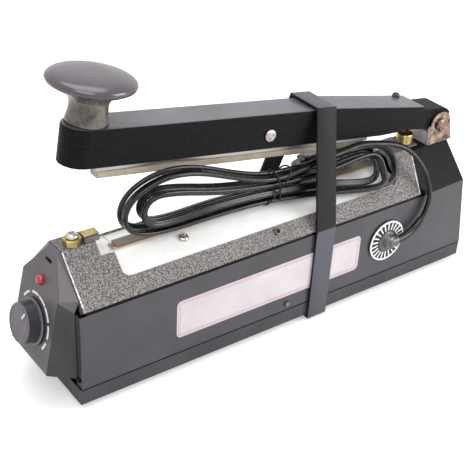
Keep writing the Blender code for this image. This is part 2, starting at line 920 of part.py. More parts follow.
def make_rear_terminal(body):
    seat = roof_height(rear_top_half) + seam
    x_start = rear_terminal_x - rear_base_half
    x_end = rear_terminal_x + rear_base_half
    y_start = terminal_y - rear_base_half
    y_end = terminal_y + rear_base_half
    shape = block(x_start, x_end, y_start, y_end, seat, seat + rear_base_height)
    obj = add_piece("terminal_base_rear", shape, body, smooth=False)
    add_finish(obj, (0.10, 0.055, 0.035), 0.5)
    foot = seat + rear_base_height + seam
    edge = cap_edge
    profile = [
        (0, 0),
        (rear_bush_radius, 0),
        (rear_bush_radius, rear_bush_height - edge),
        (rear_bush_radius - edge, rear_bush_height),
        (rear_bore_radius, rear_bush_height),
        (rear_bore_radius, rear_bush_height * half),
        (0, rear_bush_height * half),
    ]
    obj = add_piece("terminal_bush_rear", turned(profile, small_steps), body, (rear_terminal_x, terminal_y, foot))
    add_finish(obj, (0.62, 0.50, 0.24), 0.3, 1.0)


def cap_points():
    """One side of the cap: its rim from the foot to the top, and its face."""
    side_x = housing_front_x - seam
    slope_x = cover_front_x - seam
    top_height = roof_height(front_top_half)
    rim = [
        (side_x, cap_half, cap_foot_height),
        (side_x, cap_half, cap_step_height),
        (slope_x, cap_half, cap_shoulder_height),
        (slope_x, front_top_half, top_height),
    ]
    face = [
        (face_foot_x, face_foot_half, face_foot_height),
        (face_shoulder_x, face_shoulder_half, cap_shoulder_height),
        (face_top_x, face_top_half, face_top_height),
    ]
    return rim, face


def face_place(height):
    """The middle of the cap's face at this height, with the face's outward direction there."""
    foot = Vector((face_foot_x, 0, face_foot_height))
    shoulder = Vector((face_shoulder_x, 0, cap_shoulder_height))
    top = Vector((face_top_x, 0, face_top_height))
    start, end = (foot, shoulder) if height < cap_shoulder_height else (shoulder, top)
    up = end - start
    point = start + up * ((height - start.z) / up.z)
    return point, Vector((-up.z, 0, up.x)).normalized()


def face_turn(height):
    """A rotation with +Z out of the cap's face and +Y up along it."""
    out = face_place(height)[1]
    up = Vector((out.z, 0, -out.x))
    return Matrix((up.cross(out), up, out)).transposed().to_euler()


def cap_solid(rim, face):
    """A closed shape from one side's rim and face points, with the same on the other side."""
    foot, step, shoulder, top = rim
    face_foot, face_shoulder, face_top = face
    sides = [
        [foot, step, face_shoulder, face_foot],
        [step, shoulder, face_shoulder],
        [shoulder, top, face_top, face_shoulder],
    ]
    panels = sides + [mirrored(panel) for panel in sides]
    ring = [foot, face_foot, face_shoulder, face_top, top, shoulder, step]
    for start, end in zip(ring, ring[1:] + ring[:1]):
        panels.append([start, end, mirrored([end])[0], mirrored([start])[0]])
    return folded(panels, (housing_front_x - cap_wall, 0, cap_step_height))


def cap_hollow(rim, face):
    """The points of the hollow inside the cap. It keeps the cap's slopes and runs out past the rim."""
    drops = (cap_wall, 0, 0, -cap_wall)
    inner_rim = [Vector((x, y - cap_wall, z + drop)) for (x, y, z), drop in zip(rim, drops)]
    face_drops = (cap_wall, 0, -cap_wall)
    inner_face = [Vector((x + cap_wall, y - cap_wall, z + drop)) for (x, y, z), drop in zip(face, face_drops)]
    partners = (inner_face[0], inner_face[1], inner_face[1], inner_face[2])
    open_rim = [point + (point - partner) * half for point, partner in zip(inner_rim, partners)]
    return [tuple(point) for point in open_rim], [tuple(point) for point in inner_face]


def make_cap(body):
    rim, face = cap_points()
    shape = cap_solid(rim, face)
    rim_x = rim[0][0]
    folds = []
    for edge in shape.edges:
        forward = min(vertex.co.x for vertex in edge.verts) < rim_x - seam
        if forward and edge.calc_face_angle() > half:
            folds.append(edge)
    bmesh.ops.bevel(shape, geom=folds, offset=cap_edge, segments=edge_steps, profile=half, affect="EDGES")
    obj = add_piece("front_end_cap", shape, body)
    carve(obj, cap_solid(*cap_hollow(rim, face)))
    reach = (cap_wall + cut_overrun) * 2
    holes = [(*face_place(dial_height), shaft_radius + seam, reach)]
    holes.append((*face_place(lamp_height), lamp_radius + seam, reach))
    drill(obj, holes)
    point, out = face_place(slot_height)
    shape = block(-slot_length * half, slot_length * half, -slot_width * half, slot_width * half, -reach, reach)
    matrix = Matrix.Translation(point) @ face_turn(slot_height).to_matrix().to_4x4()
    bmesh.ops.transform(shape, matrix=matrix, verts=shape.verts)
    carve(obj, shape)
    add_finish(obj, (0.14, 0.125, 0.135), 0.45)


def make_lamp(body):
    shelf = -(cap_wall + seam)
    crown_shares = ((0.92, 0.55), (0.62, 0.88))
    profile = [
        (0, shelf - lamp_body),
        (lamp_radius + lamp_rim, shelf - lamp_body),
        (lamp_radius + lamp_rim, shelf),
        (lamp_radius, shelf),
        (lamp_radius, 0),
    ]
    profile += [(lamp_radius * out, lamp_dome * up) for out, up in crown_shares]
    profile.append((0, lamp_dome))
    shape = turned(profile, small_steps)
    obj = add_piece("indicator_lamp", shape, body, face_place(lamp_height)[0], face_turn(lamp_height))
    add_finish(obj, (0.55, 0.01, 0.03), 0.15)


def make_dial(body, dial):
    shelf = -(cap_wall + seam)
    profile = [
        (shaft_radius + seam, shelf - pot_depth),
        (pot_radius, shelf - pot_depth),
        (pot_radius, shelf),
        (shaft_radius + seam, shelf),
    ]
    obj = add_piece("timer_pot", turned(profile, small_steps), body, face_place(dial_height)[0], face_turn(dial_height))
    add_finish(obj, (0.45, 0.45, 0.44), 0.4, 1.0)
    start = seam * 2
    bore = shaft_radius + seam
    profile = [(0, shelf - pot_depth), (shaft_radius, shelf - pot_depth)]
    profile += [(shaft_radius, start + knob_bore_depth - seam), (0, start + knob_bore_depth - seam)]
    obj = add_piece("timer_shaft", turned(profile, small_steps), dial)
    add_finish(obj, (0.60, 0.60, 0.58), 0.3, 1.0)
    front = start + knob_height
    profile = [
        (bore, start),
        (knob_skirt_radius, start),
        (knob_skirt_radius, start + knob_skirt_height),
        (knob_radius + knob_draft, start + knob_skirt_height + knob_edge),
        (knob_radius, front - knob_edge),
        (knob_radius - knob_edge, front),
        (0, front),
        (0, start + knob_bore_depth),
        (bore, start + knob_bore_depth),
    ]
    obj = add_piece("timer_knob", turned(profile, round_steps), dial)
    x_start = -pointer_width * half
    groove = block(x_start, -x_start, pointer_inner, knob_radius + cut_overrun, front - pointer_depth, front + cut_overrun)
    turn = Matrix.Rotation(-pointer_angle, 4, "Z")
    bmesh.ops.transform(groove, matrix=turn, verts=groove.verts)
    carve(obj, groove)
    add_finish(obj, (0.09, 0.085, 0.10), 0.35)


def make_inside(body):
    floor = sheet + seam
    core_half = transformer_length * half
    depth_half = transformer_width * half
    top = floor + transformer_height
    outline = rectangle(-core_half, core_half, floor, top)
    core = add_piece("transformer_core", prism(outline, "Y", -depth_half, depth_half), body, smooth=False)
    limb = core_limb * half
    window_low = floor + core_limb
    window_high = top - core_limb
    reach = depth_half + cut_overrun
    for side in (-1, 1):
        start, end = sorted((side * core_limb, side * (core_half - core_limb)))
        carve(core, block(start, end, -reach, reach, window_low, window_high))
    add_finish(core, (0.20, 0.19, 0.18), 0.5, 1.0)
    inner_x = core_limb + seam
    inner_y = depth_half + seam
    outer_x = core_half - core_limb - seam
    outer_y = inner_y + coil_wall
    coil_low = window_low + seam
    coil_high = window_high - seam
    coil = add_piece("transformer_coil", block(-outer_x, outer_x, -outer_y, outer_y, coil_low, coil_high), body, smooth=False)
    carve(coil, block(-inner_x, inner_x, -inner_y, inner_y, coil_low - limb, coil_high + limb))
    add_finish(coil, (0.45, 0.20, 0.06), 0.5)
    board_foot = board_height
    x_start = board_x - board_length * half
    x_end = board_x + board_length * half
    y_half = board_width * half
    board = add_piece(
        "circuit_board", block(x_start, x_end, -y_half, y_half, board_foot, board_foot + board_thickness), body, smooth=False
    )
    for x in (x_start, x_end - board_leg):
        for y in (-y_half, y_half - board_leg):
            leg = block(x, x + board_leg, y, y + board_leg, floor, board_foot + board_thickness * half)
            carve(board, leg, "UNION")
    add_finish(board, (0.10, 0.28, 0.12), 0.5)


def make_screws(body):
    sizes = (screw_head_radius, screw_head_height, screw_shank_radius, screw_shank_length)
    small = (cap_screw_head_radius, cap_screw_head_height, cap_screw_shank_radius, screw_shank_length * half)
    dark = (0.10, 0.09, 0.09)
    y, z = roof_place(cover_screw_rise, 0)
    for name, side in (("near", -1), ("far", 1)):
        add_screw("cover_screw_" + name, body, (cover_screw_x, side * y, z), (0, side * roof_sin, roof_cos), sizes, dark, 0.0)
        add_screw("side_screw_" + name, body, (side_screw_x, side * half_width, side_screw_height), (0, side, 0), sizes)
        seat = (housing_front_x, side * cap_screw_half, cap_screw_height)
        add_screw("cap_screw_" + name, body, seat, (-1, 0, 0), small)
        for place_name, x in (("front", plate_screw_front_x), ("rear", plate_screw_rear_x)):
            seat = (x, side * plate_screw_half, plate_slope_height(plate_screw_half))
            add_screw("plate_screw_" + place_name + "_" + name, body, seat, plate_normal(side), sizes)


def bracket_screw_places():
    reach = screw_head_radius + edge_gap
    behind_plate = housing_places()[0] - (sheet + seam) * 2 - screw_shank_radius - seam
    return bracket_front + bracket_sheet + reach, behind_plate


def make_hinge(body):
    foot = tower_height + seam
    ear = [(bracket_front, foot), (bracket_rear, foot)]
    ear += arc((pivot_x, pivot_height), ear_radius, bracket_ear_end, math.pi, ear_steps)
    ear.append((bracket_front, foot + bracket_lip_height))
    ear_panel = [(x, bracket_half, z) for x, z in ear]
    base = [
        (bracket_front, bracket_half, foot),
        (bracket_rear, bracket_half, foot),
        (bracket_rear, -bracket_half, foot),
        (bracket_front, -bracket_half, foot),
        (bracket_front, -bracket_lip_half, foot),
        (bracket_front, bracket_lip_half, foot),
    ]
    lip_top = foot + bracket_lip_height
    lip = [
        (bracket_front, bracket_lip_half, foot),
        (bracket_front, -bracket_lip_half, foot),
        (bracket_front, -bracket_lip_half, lip_top),
        (bracket_front, bracket_lip_half, lip_top),
    ]
    panels = [ear_panel, mirrored(ear_panel), base, lip]
    bracket = add_piece("hinge_bracket", folded(panels, (pivot_x, 0, pivot_height)), body, smooth=False)
    thicken(bracket, bracket_sheet)
    reach = bracket_half * 2 + cut_overrun
    holes = [((pivot_x, 0, pivot_height), (0, 1, 0), pin_radius + seam, reach)]
    for x in bracket_screw_places():
        holes.append(((x, 0, foot), (0, 0, 1), screw_shank_radius + seam, bracket_sheet + cut_overrun))
    drill(bracket, holes)
    add_finish(bracket, (0.42, 0.36, 0.31), 0.25, 1.0)
    sizes = (screw_head_radius, screw_head_height, screw_shank_radius, screw_shank_length)
    for name, x in zip(("front", "rear"), bracket_screw_places()):
        add_screw("bracket_screw_" + name, body, (x, 0, foot + bracket_sheet), (0, 0, 1), sizes)
    pin_length = bracket_half * 2 + seam * 2 + nut_height
    sizes = (pin_head_radius, pin_head_height, pin_radius, pin_length)
    add_screw("hinge_pin", body, (pivot_x, -bracket_half, pivot_height), (0, -1, 0), sizes)
    bore = pin_radius + seam
    profile = [(bore, 0), (nut_radius, 0), (nut_radius, nut_height), (bore, nut_height)]
    seat = (pivot_x, bracket_half + seam, pivot_height)
    nut = add_piece("hinge_nut", hex_ring(profile), body, seat, facing((0, 1, 0)), smooth=False)
    add_finish(nut, (0.60, 0.58, 0.55), 0.3, 1.0)
    wall = bore + bush_wall
    profile = [(bore, -bush_half), (wall, -bush_half), (wall, bush_half), (bore, bush_half)]
    seat = (pivot_x, 0, pivot_height)
    bush = add_piece("hinge_bush", turned(profile, small_steps), body, seat, facing((0, 1, 0)))
    add_finish(bush, (0.60, 0.46, 0.20), 0.35, 1.0)


def make_spring(body):
    """A torsion spring round the hinge's bush, one leg along the bracket's floor, one under the arm's web."""
    radius = pin_radius + bush_wall + seam * 2 + spring_wire
    count = int(spring_turns * spring_points)
    start = quarter_turn * 3
    width = spring_turns * spring_pitch
    points = []
    for step in range(count + 1):
        share = step / count
        angle = start - math.tau * spring_turns * share
        y = width * (share - half)
        points.append((pivot_x + radius * math.cos(angle), y, pivot_height + radius * math.sin(angle)))
    first = points[0]
    last = points[-1]
    floor_leg = (first[0] - spring_leg * half, first[1], first[2])
    web_leg = (last[0] - spring_leg, last[1], last[2])
    points = [floor_leg] + points + [web_leg]
    obj = add_tube("return_spring", points, spring_wire, hank_side_steps, body)
    add_finish(obj, (0.35, 0.34, 0.33), 0.35, 1.0)


def add_tube(name, points, radius, side_steps, parent):
    curve = bpy.data.curves.new(name, "CURVE")
    curve.dimensions = "3D"
    curve.bevel_depth = radius
    curve.bevel_resolution = side_steps
    curve.use_fill_caps = True
    spline = curve.splines.new("POLY")
    spline.points.add(len(points) - 1)
    for point, spot in zip(spline.points, points):
        point.co = (*spot, 1)
    obj = bpy.data.objects.new(name, curve)
    bpy.context.scene.collection.objects.link(obj)
    place(obj, parent)
    return obj


def make_arm(arm):
    nose_center_x = arm_nose + arm_half
    nose = arc((nose_center_x, 0), arm_half, quarter_turn, quarter_turn * 3, nose_steps)
    side_lower = [
        (nose_center_x, arm_bottom),
        (arm_taper_start, arm_bottom),
        (arm_step_front, arm_bottom),
        (arm_step_rear, arm_step_bottom),
        (arm_tail_bottom_x, arm_tail_bottom),
    ]
    side_upper = [(arm_tail_top_x, arm_tail_top), (arm_taper_start, arm_top), (nose_center_x, arm_top)]
    wall = [(x, arm_half, z) for x, z in side_lower + side_upper]
    panels = [wall, mirrored(wall)]
    for (x, y), (next_x, next_y) in zip(nose, nose[1:]):
        panels.append([(x, y, arm_bottom), (next_x, next_y, arm_bottom), (next_x, next_y, arm_top), (x, y, arm_top)])
    top = [(x, y, arm_top) for x, y in nose]
    top += [(arm_taper_start, -arm_half, arm_top), (arm_taper_start, arm_half, arm_top)]
    tail = [
        (arm_taper_start, arm_half, arm_top),
        (arm_taper_start, -arm_half, arm_top),
        (arm_tail_top_x, -arm_half, arm_tail_top),
        (arm_tail_top_x, arm_half, arm_tail_top),
    ]
    panels += [top, tail]
    shape = folded(panels, (arm_taper_start, 0, arm_tail_bottom))
    folds = []
    for edge in shape.edges:
        if len(edge.link_faces) == 2 and edge.calc_face_angle() > sharp_fold:
            folds.append(edge)
    bmesh.ops.bevel(shape, geom=folds, offset=arm_edge, segments=edge_steps, profile=half, affect="EDGES")
    obj = add_piece("arm_channel", shape, arm)
    thicken(obj, arm_wall)
    reach = arm_wall + cut_overrun
    holes = []
    for side in (-1, 1):
        screw_hole = screw_shank_radius + seam
        holes.append(((arm_screw_x, side * arm_half, arm_screw_height), (0, 1, 0), screw_hole, reach))
    holes.append(((handle_x, 0, arm_top), (0, 0, 1), handle_screw_radius + seam, reach))
    drill(obj, holes)
    add_finish(obj, (0.05, 0.045, 0.05), 0.35)
    sizes = (
        arm_screw_head_radius,
        arm_screw_head_height,
        screw_shank_radius,
        arm_half - bar_half,
    )
    for name, side in (("near", -1), ("far", 1)):
        add_screw("arm_screw_" + name, arm, (arm_screw_x, side * arm_half, arm_screw_height), (0, side, 0), sizes)


def make_tang(arm):
    """The two cheeks and the web that carry the arm's channel on the hinge pin."""
    outer = bracket_half - bracket_sheet - tang_gap
    heel = arc((0, 0), tang_heel_radius, tang_heel_start, math.tau, small_steps // 2)
    crown = arc((0, 0), tang_top, quarter_turn * half, quarter_turn, small_steps // 4)
    outline = [(tang_front, tang_bottom)] + heel + crown + [(tang_front, tang_front_top)]
    obj = add_piece("arm_tang", prism(outline, "Y", -outer, outer), arm)
    inner = outer - tang_sheet
    web = tang_top - tang_sheet
    carve(obj, block(tang_front - cut_overrun, tang_top + cut_overrun, -inner, inner, -tang_top, web - tang_sheet * half))
    drill(obj, [((0, 0, 0), (0, 1, 0), pin_radius + seam, outer * 2 + cut_overrun)])
    add_finish(obj, (0.06, 0.055, 0.055), 0.4)


def make_bar(arm):
    outline = rectangle(bar_front, bar_rear, bar_foot, bar_top)
    obj = add_piece("pressure_bar", prism(outline, "Y", -bar_half, bar_half), arm, smooth=False)
    add_finish(obj, (0.50, 0.49, 0.47), 0.35, 1.0)
    start = bar_front + silicone_inset
    end = bar_rear - silicone_inset
    top = bar_foot - seam
    outline = [
        (-silicone_half, top),
        (-silicone_half, silicone_foot + silicone_edge),
        (silicone_edge - silicone_half, silicone_foot),
        (silicone_half - silicone_edge, silicone_foot),
        (silicone_half, silicone_foot + silicone_edge),
        (silicone_half, top),
    ]
    obj = add_piece("silicone_strip", prism(outline, "X", start, end), arm, smooth=False)
    add_finish(obj, (0.62, 0.55, 0.42), 0.6)


def make_handle(arm):
    seat = arm_top + seam
    bore = handle_screw_radius + seam
    rim = handle_rim_height
    crown_shares = ((0.93, 0.42), (0.70, 0.80), (0.36, 0.97))
    profile = [
        (bore, 0),
        (handle_foot_radius, 0),
        (handle_foot_radius, cap_edge),
        (handle_waist_radius, handle_waist_height),
        (handle_neck_radius, handle_neck_height),
        (handle_radius - handle_rim_half * 2, rim - handle_rim_half * 2),
        (handle_radius - handle_rim_half * half, rim - handle_rim_half),
        (handle_radius, rim),
    ]
    profile += [(handle_radius * out, rim + handle_crown * up) for out, up in crown_shares]
    profile += [(0, rim + handle_crown), (0, handle_bore_depth), (bore, handle_bore_depth)]
    obj = add_piece("handle_knob", turned(profile, round_steps), arm, (handle_x, 0, seat))
    add_finish(obj, (0.05, 0.05, 0.055), 0.12)
    under = arm_top - arm_wall
    length = arm_wall + handle_bore_depth
    sizes = (handle_screw_head_radius, handle_screw_head_height, handle_screw_radius, length)
    add_screw("handle_screw", arm, (handle_x, 0, under), (0, 0, -1), sizes)


def arm_top_height(x):
    """Height, in the body's frame, of the arm's top where it passes this x."""
    reach = (pivot_x - x + arm_top * math.sin(arm_tilt)) / math.cos(arm_tilt)
    return pivot_height + reach * math.sin(arm_tilt) + arm_top * math.cos(arm_tilt)


def make_strap(body):
    """One closed band, under the tray, up both sides and across the arm. It leans back as it rises."""
    side = half_width + seam
    arm_side = arm_half + seam * 2
    places = [
        (-side, -seam, strap_foot_x, 0),
        (side, -seam, strap_foot_x, 0),
        (side, shoulder_height, strap_shoulder_x, 0),
        (arm_side, arm_top_height(strap_top_x) + seam * 2, strap_top_x, math.tan(arm_tilt)),
        (-arm_side, arm_top_height(strap_top_x) + seam * 2, strap_top_x, math.tan(arm_tilt)),
        (-side, shoulder_height, strap_shoulder_x, 0),
    ]
    shape = bmesh.new()
    rings = []
    for here, (y, z, x, fall) in enumerate(places):
        before = places[here - 1]
        after = places[(here + 1) % len(places)]
        run_in = Vector((y - before[0], z - before[1])).normalized()
        run_out = Vector((after[0] - y, after[1] - z)).normalized()
        out_in = Vector((run_in.y, -run_in.x))
        out_out = Vector((run_out.y, -run_out.x))
        out = (out_in + out_out).normalized()
        out = out * (strap_thickness / out.dot(out_in))
        ring = []
        for reach, along_x in ((0, -half), (1, -half), (1, half), (0, half)):
            shift = strap_width * along_x
            ring.append(shape.verts.new((x + shift, y + out.x * reach, z + out.y * reach - shift * fall)))
        rings.append(ring)
    for here, ring in enumerate(rings):
        after = rings[(here + 1) % len(rings)]
        for corner in range(4):
            next_corner = (corner + 1) % 4
            shape.faces.new((ring[corner], ring[next_corner], after[next_corner], after[corner]))
    bmesh.ops.recalc_face_normals(shape, faces=shape.faces)
    obj = add_piece("transport_strap", shape, body, smooth=False)
    add_finish(obj, (0.03, 0.028, 0.03), 0.4)


def make_gland(body):
    profile = [
        (0, -gland_barrel_length),
        (gland_barrel_radius, -gland_barrel_length),
        (gland_barrel_radius, seam),
        (gland_radius, seam),
        (gland_radius, gland_disc + seam),
        (gland_hub_radius, gland_disc + seam),
        (gland_hub_radius, gland_disc + gland_hub_height),
        (0, gland_disc + gland_hub_height),
    ]
    seat = (gland_x, -half_width, gland_height)
    obj = add_piece("cord_gland", turned(profile, round_steps), body, seat, facing((0, -1, 0)))
    sleeve_top = gland_disc + gland_hub_height - seam
    sleeve = block(0, gland_sleeve, -gland_sleeve_half, gland_sleeve_half, sleeve_top - gland_sleeve_half * 2, sleeve_top)
    carve(obj, sleeve, "UNION")
    add_finish(obj, (0.30, 0.31, 0.28), 0.5)


def smooth_route(points, count):
    """Points at even steps along a smooth curve through the route's own points."""
    points = np.array(points)
    before = 2 * points[0] - points[1]
    after = 2 * points[-1] - points[-2]
    padded = np.vstack([before, points, after])
    dense = []
    for here in range(1, len(padded) - 2):
        p0, p1, p2, p3 = padded[here - 1 : here + 3]
        for step in range(route_samples):
            dense.append(spline_point(p0, p1, p2, p3, step / route_samples))
    dense.append(points[-1])
    dense = np.array(dense)
    lengths = np.concatenate([[0], np.cumsum(np.linalg.norm(np.diff(dense, axis=0), axis=1))])
    even = np.linspace(0, lengths[-1], count)
    return [tuple(np.interp(even, lengths, dense[:, axis])[i] for axis in range(3)) for i in range(count)]


def spline_point(p0, p1, p2, p3, share):
    """Catmull-Rom, with knots spaced by the square root of the chord so that it doesn't overshoot."""
    knots = [0.0]
    for start, end in ((p0, p1), (p1, p2), (p2, p3)):
        knots.append(knots[-1] + math.sqrt(np.linalg.norm(end - start)))
    t0, t1, t2, t3 = knots
    t = t1 + (t2 - t1) * share
    a1 = (t1 - t) / (t1 - t0) * p0 + (t - t0) / (t1 - t0) * p1
    a2 = (t2 - t) / (t2 - t1) * p1 + (t - t1) / (t2 - t1) * p2
    a3 = (t3 - t) / (t3 - t2) * p2 + (t - t2) / (t3 - t2) * p3
    b1 = (t2 - t) / (t2 - t0) * a1 + (t - t0) / (t2 - t0) * a2
    b2 = (t3 - t) / (t3 - t1) * a2 + (t - t1) / (t3 - t1) * a3
    return (t2 - t) / (t2 - t1) * b1 + (t - t1) / (t2 - t1) * b2


def ease(share):
    share = min(max(share, 0), 1)
    return share * share * (3 - 2 * share)


def step_over(angle, window):
    start, span = window
    return ease((angle - start) / span)


def between(pair, share):
    return pair[0] + (pair[1] - pair[0]) * share


def hank_point(angle):
    """The hank's centre line: outer is the share of the outer ring, near that of the near column."""
    outer = 1 - step_over(angle, hank_to_inner) + step_over(angle, hank_to_outer)
    near = 1 - step_over(angle, hank_to_far)
    out = math.cos(angle)
    up = math.sin(angle)
    left = out < 0
    reach = between(hank_reach_left if left else hank_reach_right, outer)
    bulge = between(hank_bulge_left if left else hank_bulge_right, outer)
    crest = hank_crest * outer * (out * up) ** 2 if left and up > 0 else 0
    rise = up * (hank_row * (half + outer) + bulge * out ** 2 + crest)
    side = hank_column * (near - half)
    waist_x, waist_y, waist_z = hank_waist
    x = waist_x + reach * out
    run = x - waist_x
    lean = hank_lean + (0 if left else hank_twist_per_metre * run)
    y = waist_y + (0 if left else hank_right_spread_share * run)
    z = waist_z + (hank_left_rise_share if left else hank_right_rise_share) * run
    y += rise * math.cos(lean) - side * math.sin(lean)
    z += rise * math.sin(lean) + side * math.cos(lean)
    if not left and up < 0:
        y -= hank_spill * out ** 2 * ease(-up / hank_spill_share)
    lift = 1 - step_over(angle, (hank_start, hank_entry_span))
    return Vector((x, y, z)) + Vector(hank_entry_lift) * lift


def hank_route():
    count = round((hank_end - hank_start) / math.tau * hank_loop_points)
    angles = [hank_start + (hank_end - hank_start) * step / count for step in range(count + 1)]
    return [hank_point(angle) for angle in angles]


def least_gap(points, radius):
    """The least gap between two turns, measured on points spread over the route's runs."""
    points = np.array(points)
    shares = np.arange(gap_spread) / gap_spread
    dense = np.concatenate([a + np.outer(shares, b - a) for a, b in zip(points, points[1:])])
    along_route = np.concatenate([[0], np.cumsum(np.linalg.norm(np.diff(dense, axis=0), axis=1))])
    apart = np.linalg.norm(dense[:, None] - dense[None], axis=2)
    same_run = np.abs(along_route[:, None] - along_route[None]) < radius * gap_skip
    apart[same_run] = np.inf
    return apart.min() - 2 * radius


def make_cord(body):
    hank = hank_route()
    start_run = (hank[0] - hank[1]).normalized()
    end_run = (hank[-1] - hank[-2]).normalized()
    add_cord_piece("cord_hank", hank, hank_side_steps, body)
    lead_end = hank[0] + start_run * seam
    gland_exit = Vector((gland_x + gland_sleeve + seam, lead_route[0][1], gland_height))
    route = [gland_exit, *lead_route[1:], lead_end + start_run * cord_run, lead_end]
    lead = smooth_route(route, lead_points)
    add_cord_piece("cord_lead", lead, cord_side_steps, body)
    tail_start = hank[-1] + end_run * seam
    tail_end = Vector((plug_rear_x - seam, plug_y, plug_height))
    run_out = tail_start + end_run * cord_run
    run_in = tail_end - Vector((cord_run, 0, 0))
    tail = smooth_route([tail_start, run_out, *tail_route, run_in, tail_end], tail_points)
    add_cord_piece("cord_tail", tail, cord_side_steps, body)
    whole = list(reversed(tail)) + [tuple(point) for point in reversed(hank)] + list(reversed(lead))
    length = sum((Vector(a) - Vector(b)).length for a, b in zip(whole, whole[1:]))
    print("cord length %.3f m" % length)
    print("hank's least gap %.2f mm" % (least_gap(hank, cord_radius) * mm_per_metre))


def add_cord_piece(name, points, side_steps, body):
    obj = add_tube(name, points, cord_radius, side_steps, body)
    add_finish(obj, (0.02, 0.02, 0.022), 0.4)


def make_tie(body):
    """A band round the hank's waist."""
    inner = cord_radius + seam + tie_slack
    outlines = []
    for reach in (inner, inner + tie_thickness):
        points = []
        for corner, (side_y, side_z) in enumerate(((1, 1), (-1, 1), (-1, -1), (1, -1))):
            center = (tie_side + side_y * hank_column * half, tie_lift + side_z * hank_row * (1 + half))
            first = corner * math.pi * half
            points += arc(center, reach, first, first + math.pi * half, tie_steps)
        outlines.append(points)
    rotation = (hank_lean - math.pi * half, 0, 0)
    shape = prism(outlines[1], "X", -tie_width * half, tie_width * half)
    obj = add_piece("cord_tie", shape, body, hank_waist, rotation)
    carve(obj, prism(outlines[0], "X", -tie_width, tie_width))
    add_finish(obj, (0.03, 0.03, 0.03), 0.5)


def make_plug(body):
    plug = add_empty("plug_place", body, (plug_rear_x, plug_y, plug_height), (plug_lean, 0, 0))
    shape = block(0, plug_length, -plug_width * half, plug_width * half, -plug_thickness * half, plug_thickness * half)
    bmesh.ops.bevel(shape, geom=list(shape.edges), offset=plug_edge, segments=edge_steps, profile=half, affect="EDGES")
    obj = add_piece("plug_body", shape, plug)
    add_finish(obj, (0.025, 0.025, 0.027), 0.45)
    profile = [
        (0, 0),
        (plug_pin_radius, 0),
        (plug_pin_radius, plug_pin_length - plug_pin_radius * half),
        (plug_pin_radius * half, plug_pin_length),
        (0, plug_pin_length),
    ]
    for name, side in (("near", -1), ("far", 1)):
        seat = (plug_length + seam, side * plug_pin_spacing * half, 0)
        pin = add_piece("plug_pin_" + name, turned(profile, tiny_steps), plug, seat, facing((1, 0, 0)))
        add_finish(pin, (0.70, 0.68, 0.60), 0.25, 1.0)


def main():
    clear_scene()
    body = add_empty("body", None, (body_shift, 0, foot_height))
    arm = add_empty("arm_pivot", body, (pivot_x, 0, pivot_height), (0, arm_tilt, 0))
    dial = add_empty("dial_axis", body, face_place(dial_height)[0], face_turn(dial_height))
    make_tray(body)
    make_feet(body)
    make_housing(body)
    make_rear_plate(body)
    make_cover(body)
    make_platform(body)
    make_sealing_strip(body)
    make_front_terminal(body)
    make_rear_terminal(body)
    make_cap(body)
    make_lamp(body)
    make_dial(body, dial)
    make_inside(body)
    make_screws(body)
    make_hinge(body)
    make_spring(body)
    make_gland(body)
    make_strap(body)
    make_arm(arm)
    make_tang(arm)
    make_bar(arm)
    make_handle(arm)
    make_cord(body)
    make_tie(body)
    make_plug(body)


main()
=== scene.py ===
import json
import math

import bpy
import numpy as np
from mathutils import Euler, Matrix, Vector


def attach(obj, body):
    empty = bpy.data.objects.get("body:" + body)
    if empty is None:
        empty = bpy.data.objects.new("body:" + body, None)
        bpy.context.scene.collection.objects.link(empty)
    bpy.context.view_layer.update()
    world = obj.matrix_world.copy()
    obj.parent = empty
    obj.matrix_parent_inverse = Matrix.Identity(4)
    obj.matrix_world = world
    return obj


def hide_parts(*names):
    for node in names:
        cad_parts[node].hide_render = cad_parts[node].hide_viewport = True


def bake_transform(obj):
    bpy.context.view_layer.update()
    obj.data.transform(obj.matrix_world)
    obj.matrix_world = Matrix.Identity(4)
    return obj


# A 200 mm hand-operated heat sealer, strapped down over its own stowed cord.
# Metres, +X towards the hinge, +Z up, the side with the cord outlet at -Y.
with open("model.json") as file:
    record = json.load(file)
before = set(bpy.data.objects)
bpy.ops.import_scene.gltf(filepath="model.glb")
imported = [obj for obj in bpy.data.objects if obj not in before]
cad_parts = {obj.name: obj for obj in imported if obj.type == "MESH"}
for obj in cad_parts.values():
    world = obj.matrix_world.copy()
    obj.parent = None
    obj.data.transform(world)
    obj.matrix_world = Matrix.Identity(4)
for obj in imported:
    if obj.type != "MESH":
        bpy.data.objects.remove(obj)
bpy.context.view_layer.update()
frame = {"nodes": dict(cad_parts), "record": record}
bodyOf = {node: body for body, nodes in frame["record"]["behaviour"]["bodies"].items() for node in nodes}

# places that several pieces share
origin = Vector((0.0117, 0, 0.004))  # the body's own origin
roofAngle = math.radians(46.7)
dialCentre = Vector((-0.14929, 0, 0.048))
dialNormal = Vector((-0.97789, 0, 0.2091))
lampCentre = Vector((-0.14333, 0, 0.0732))
lampNormal = Vector((-0.9225, 0, 0.386))
bothSides = ((-1, "Near"), (1, "Far"))


def tiltedUp(degrees):
    angle = math.radians(degrees)
    return Vector((math.sin(angle), 0, math.cos(angle)))


armUp = tiltedUp(9)


def placed(name, data):
    thing = bpy.data.objects.new(name, data)
    bpy.context.scene.collection.objects.link(thing)
    return thing


# camera first, then the cord that it has to show
cameraValues = {
    "place": (-0.34001, -0.42824, 0.39268),
    "azimuth": 0.64912,
    "elevation": 0.55143,
    "roll": 0.05297,
    "lens": 79.77,
}


def addCamera(values):
    data = bpy.data.cameras.new("photoCamera")
    data.lens = values["lens"]
    data.clip_start = 0.01
    camera = placed("photoCamera", data)
    turn = Euler((math.pi / 2 - values["elevation"], 0, -values["azimuth"])).to_matrix()
    turn = turn @ Matrix.Rotation(values["roll"], 3, "Z")
    camera.matrix_world = Matrix.Translation(values["place"]) @ turn.to_4x4()
    bpy.context.scene.camera = camera


addCamera(cameraValues)
print("camera in place")


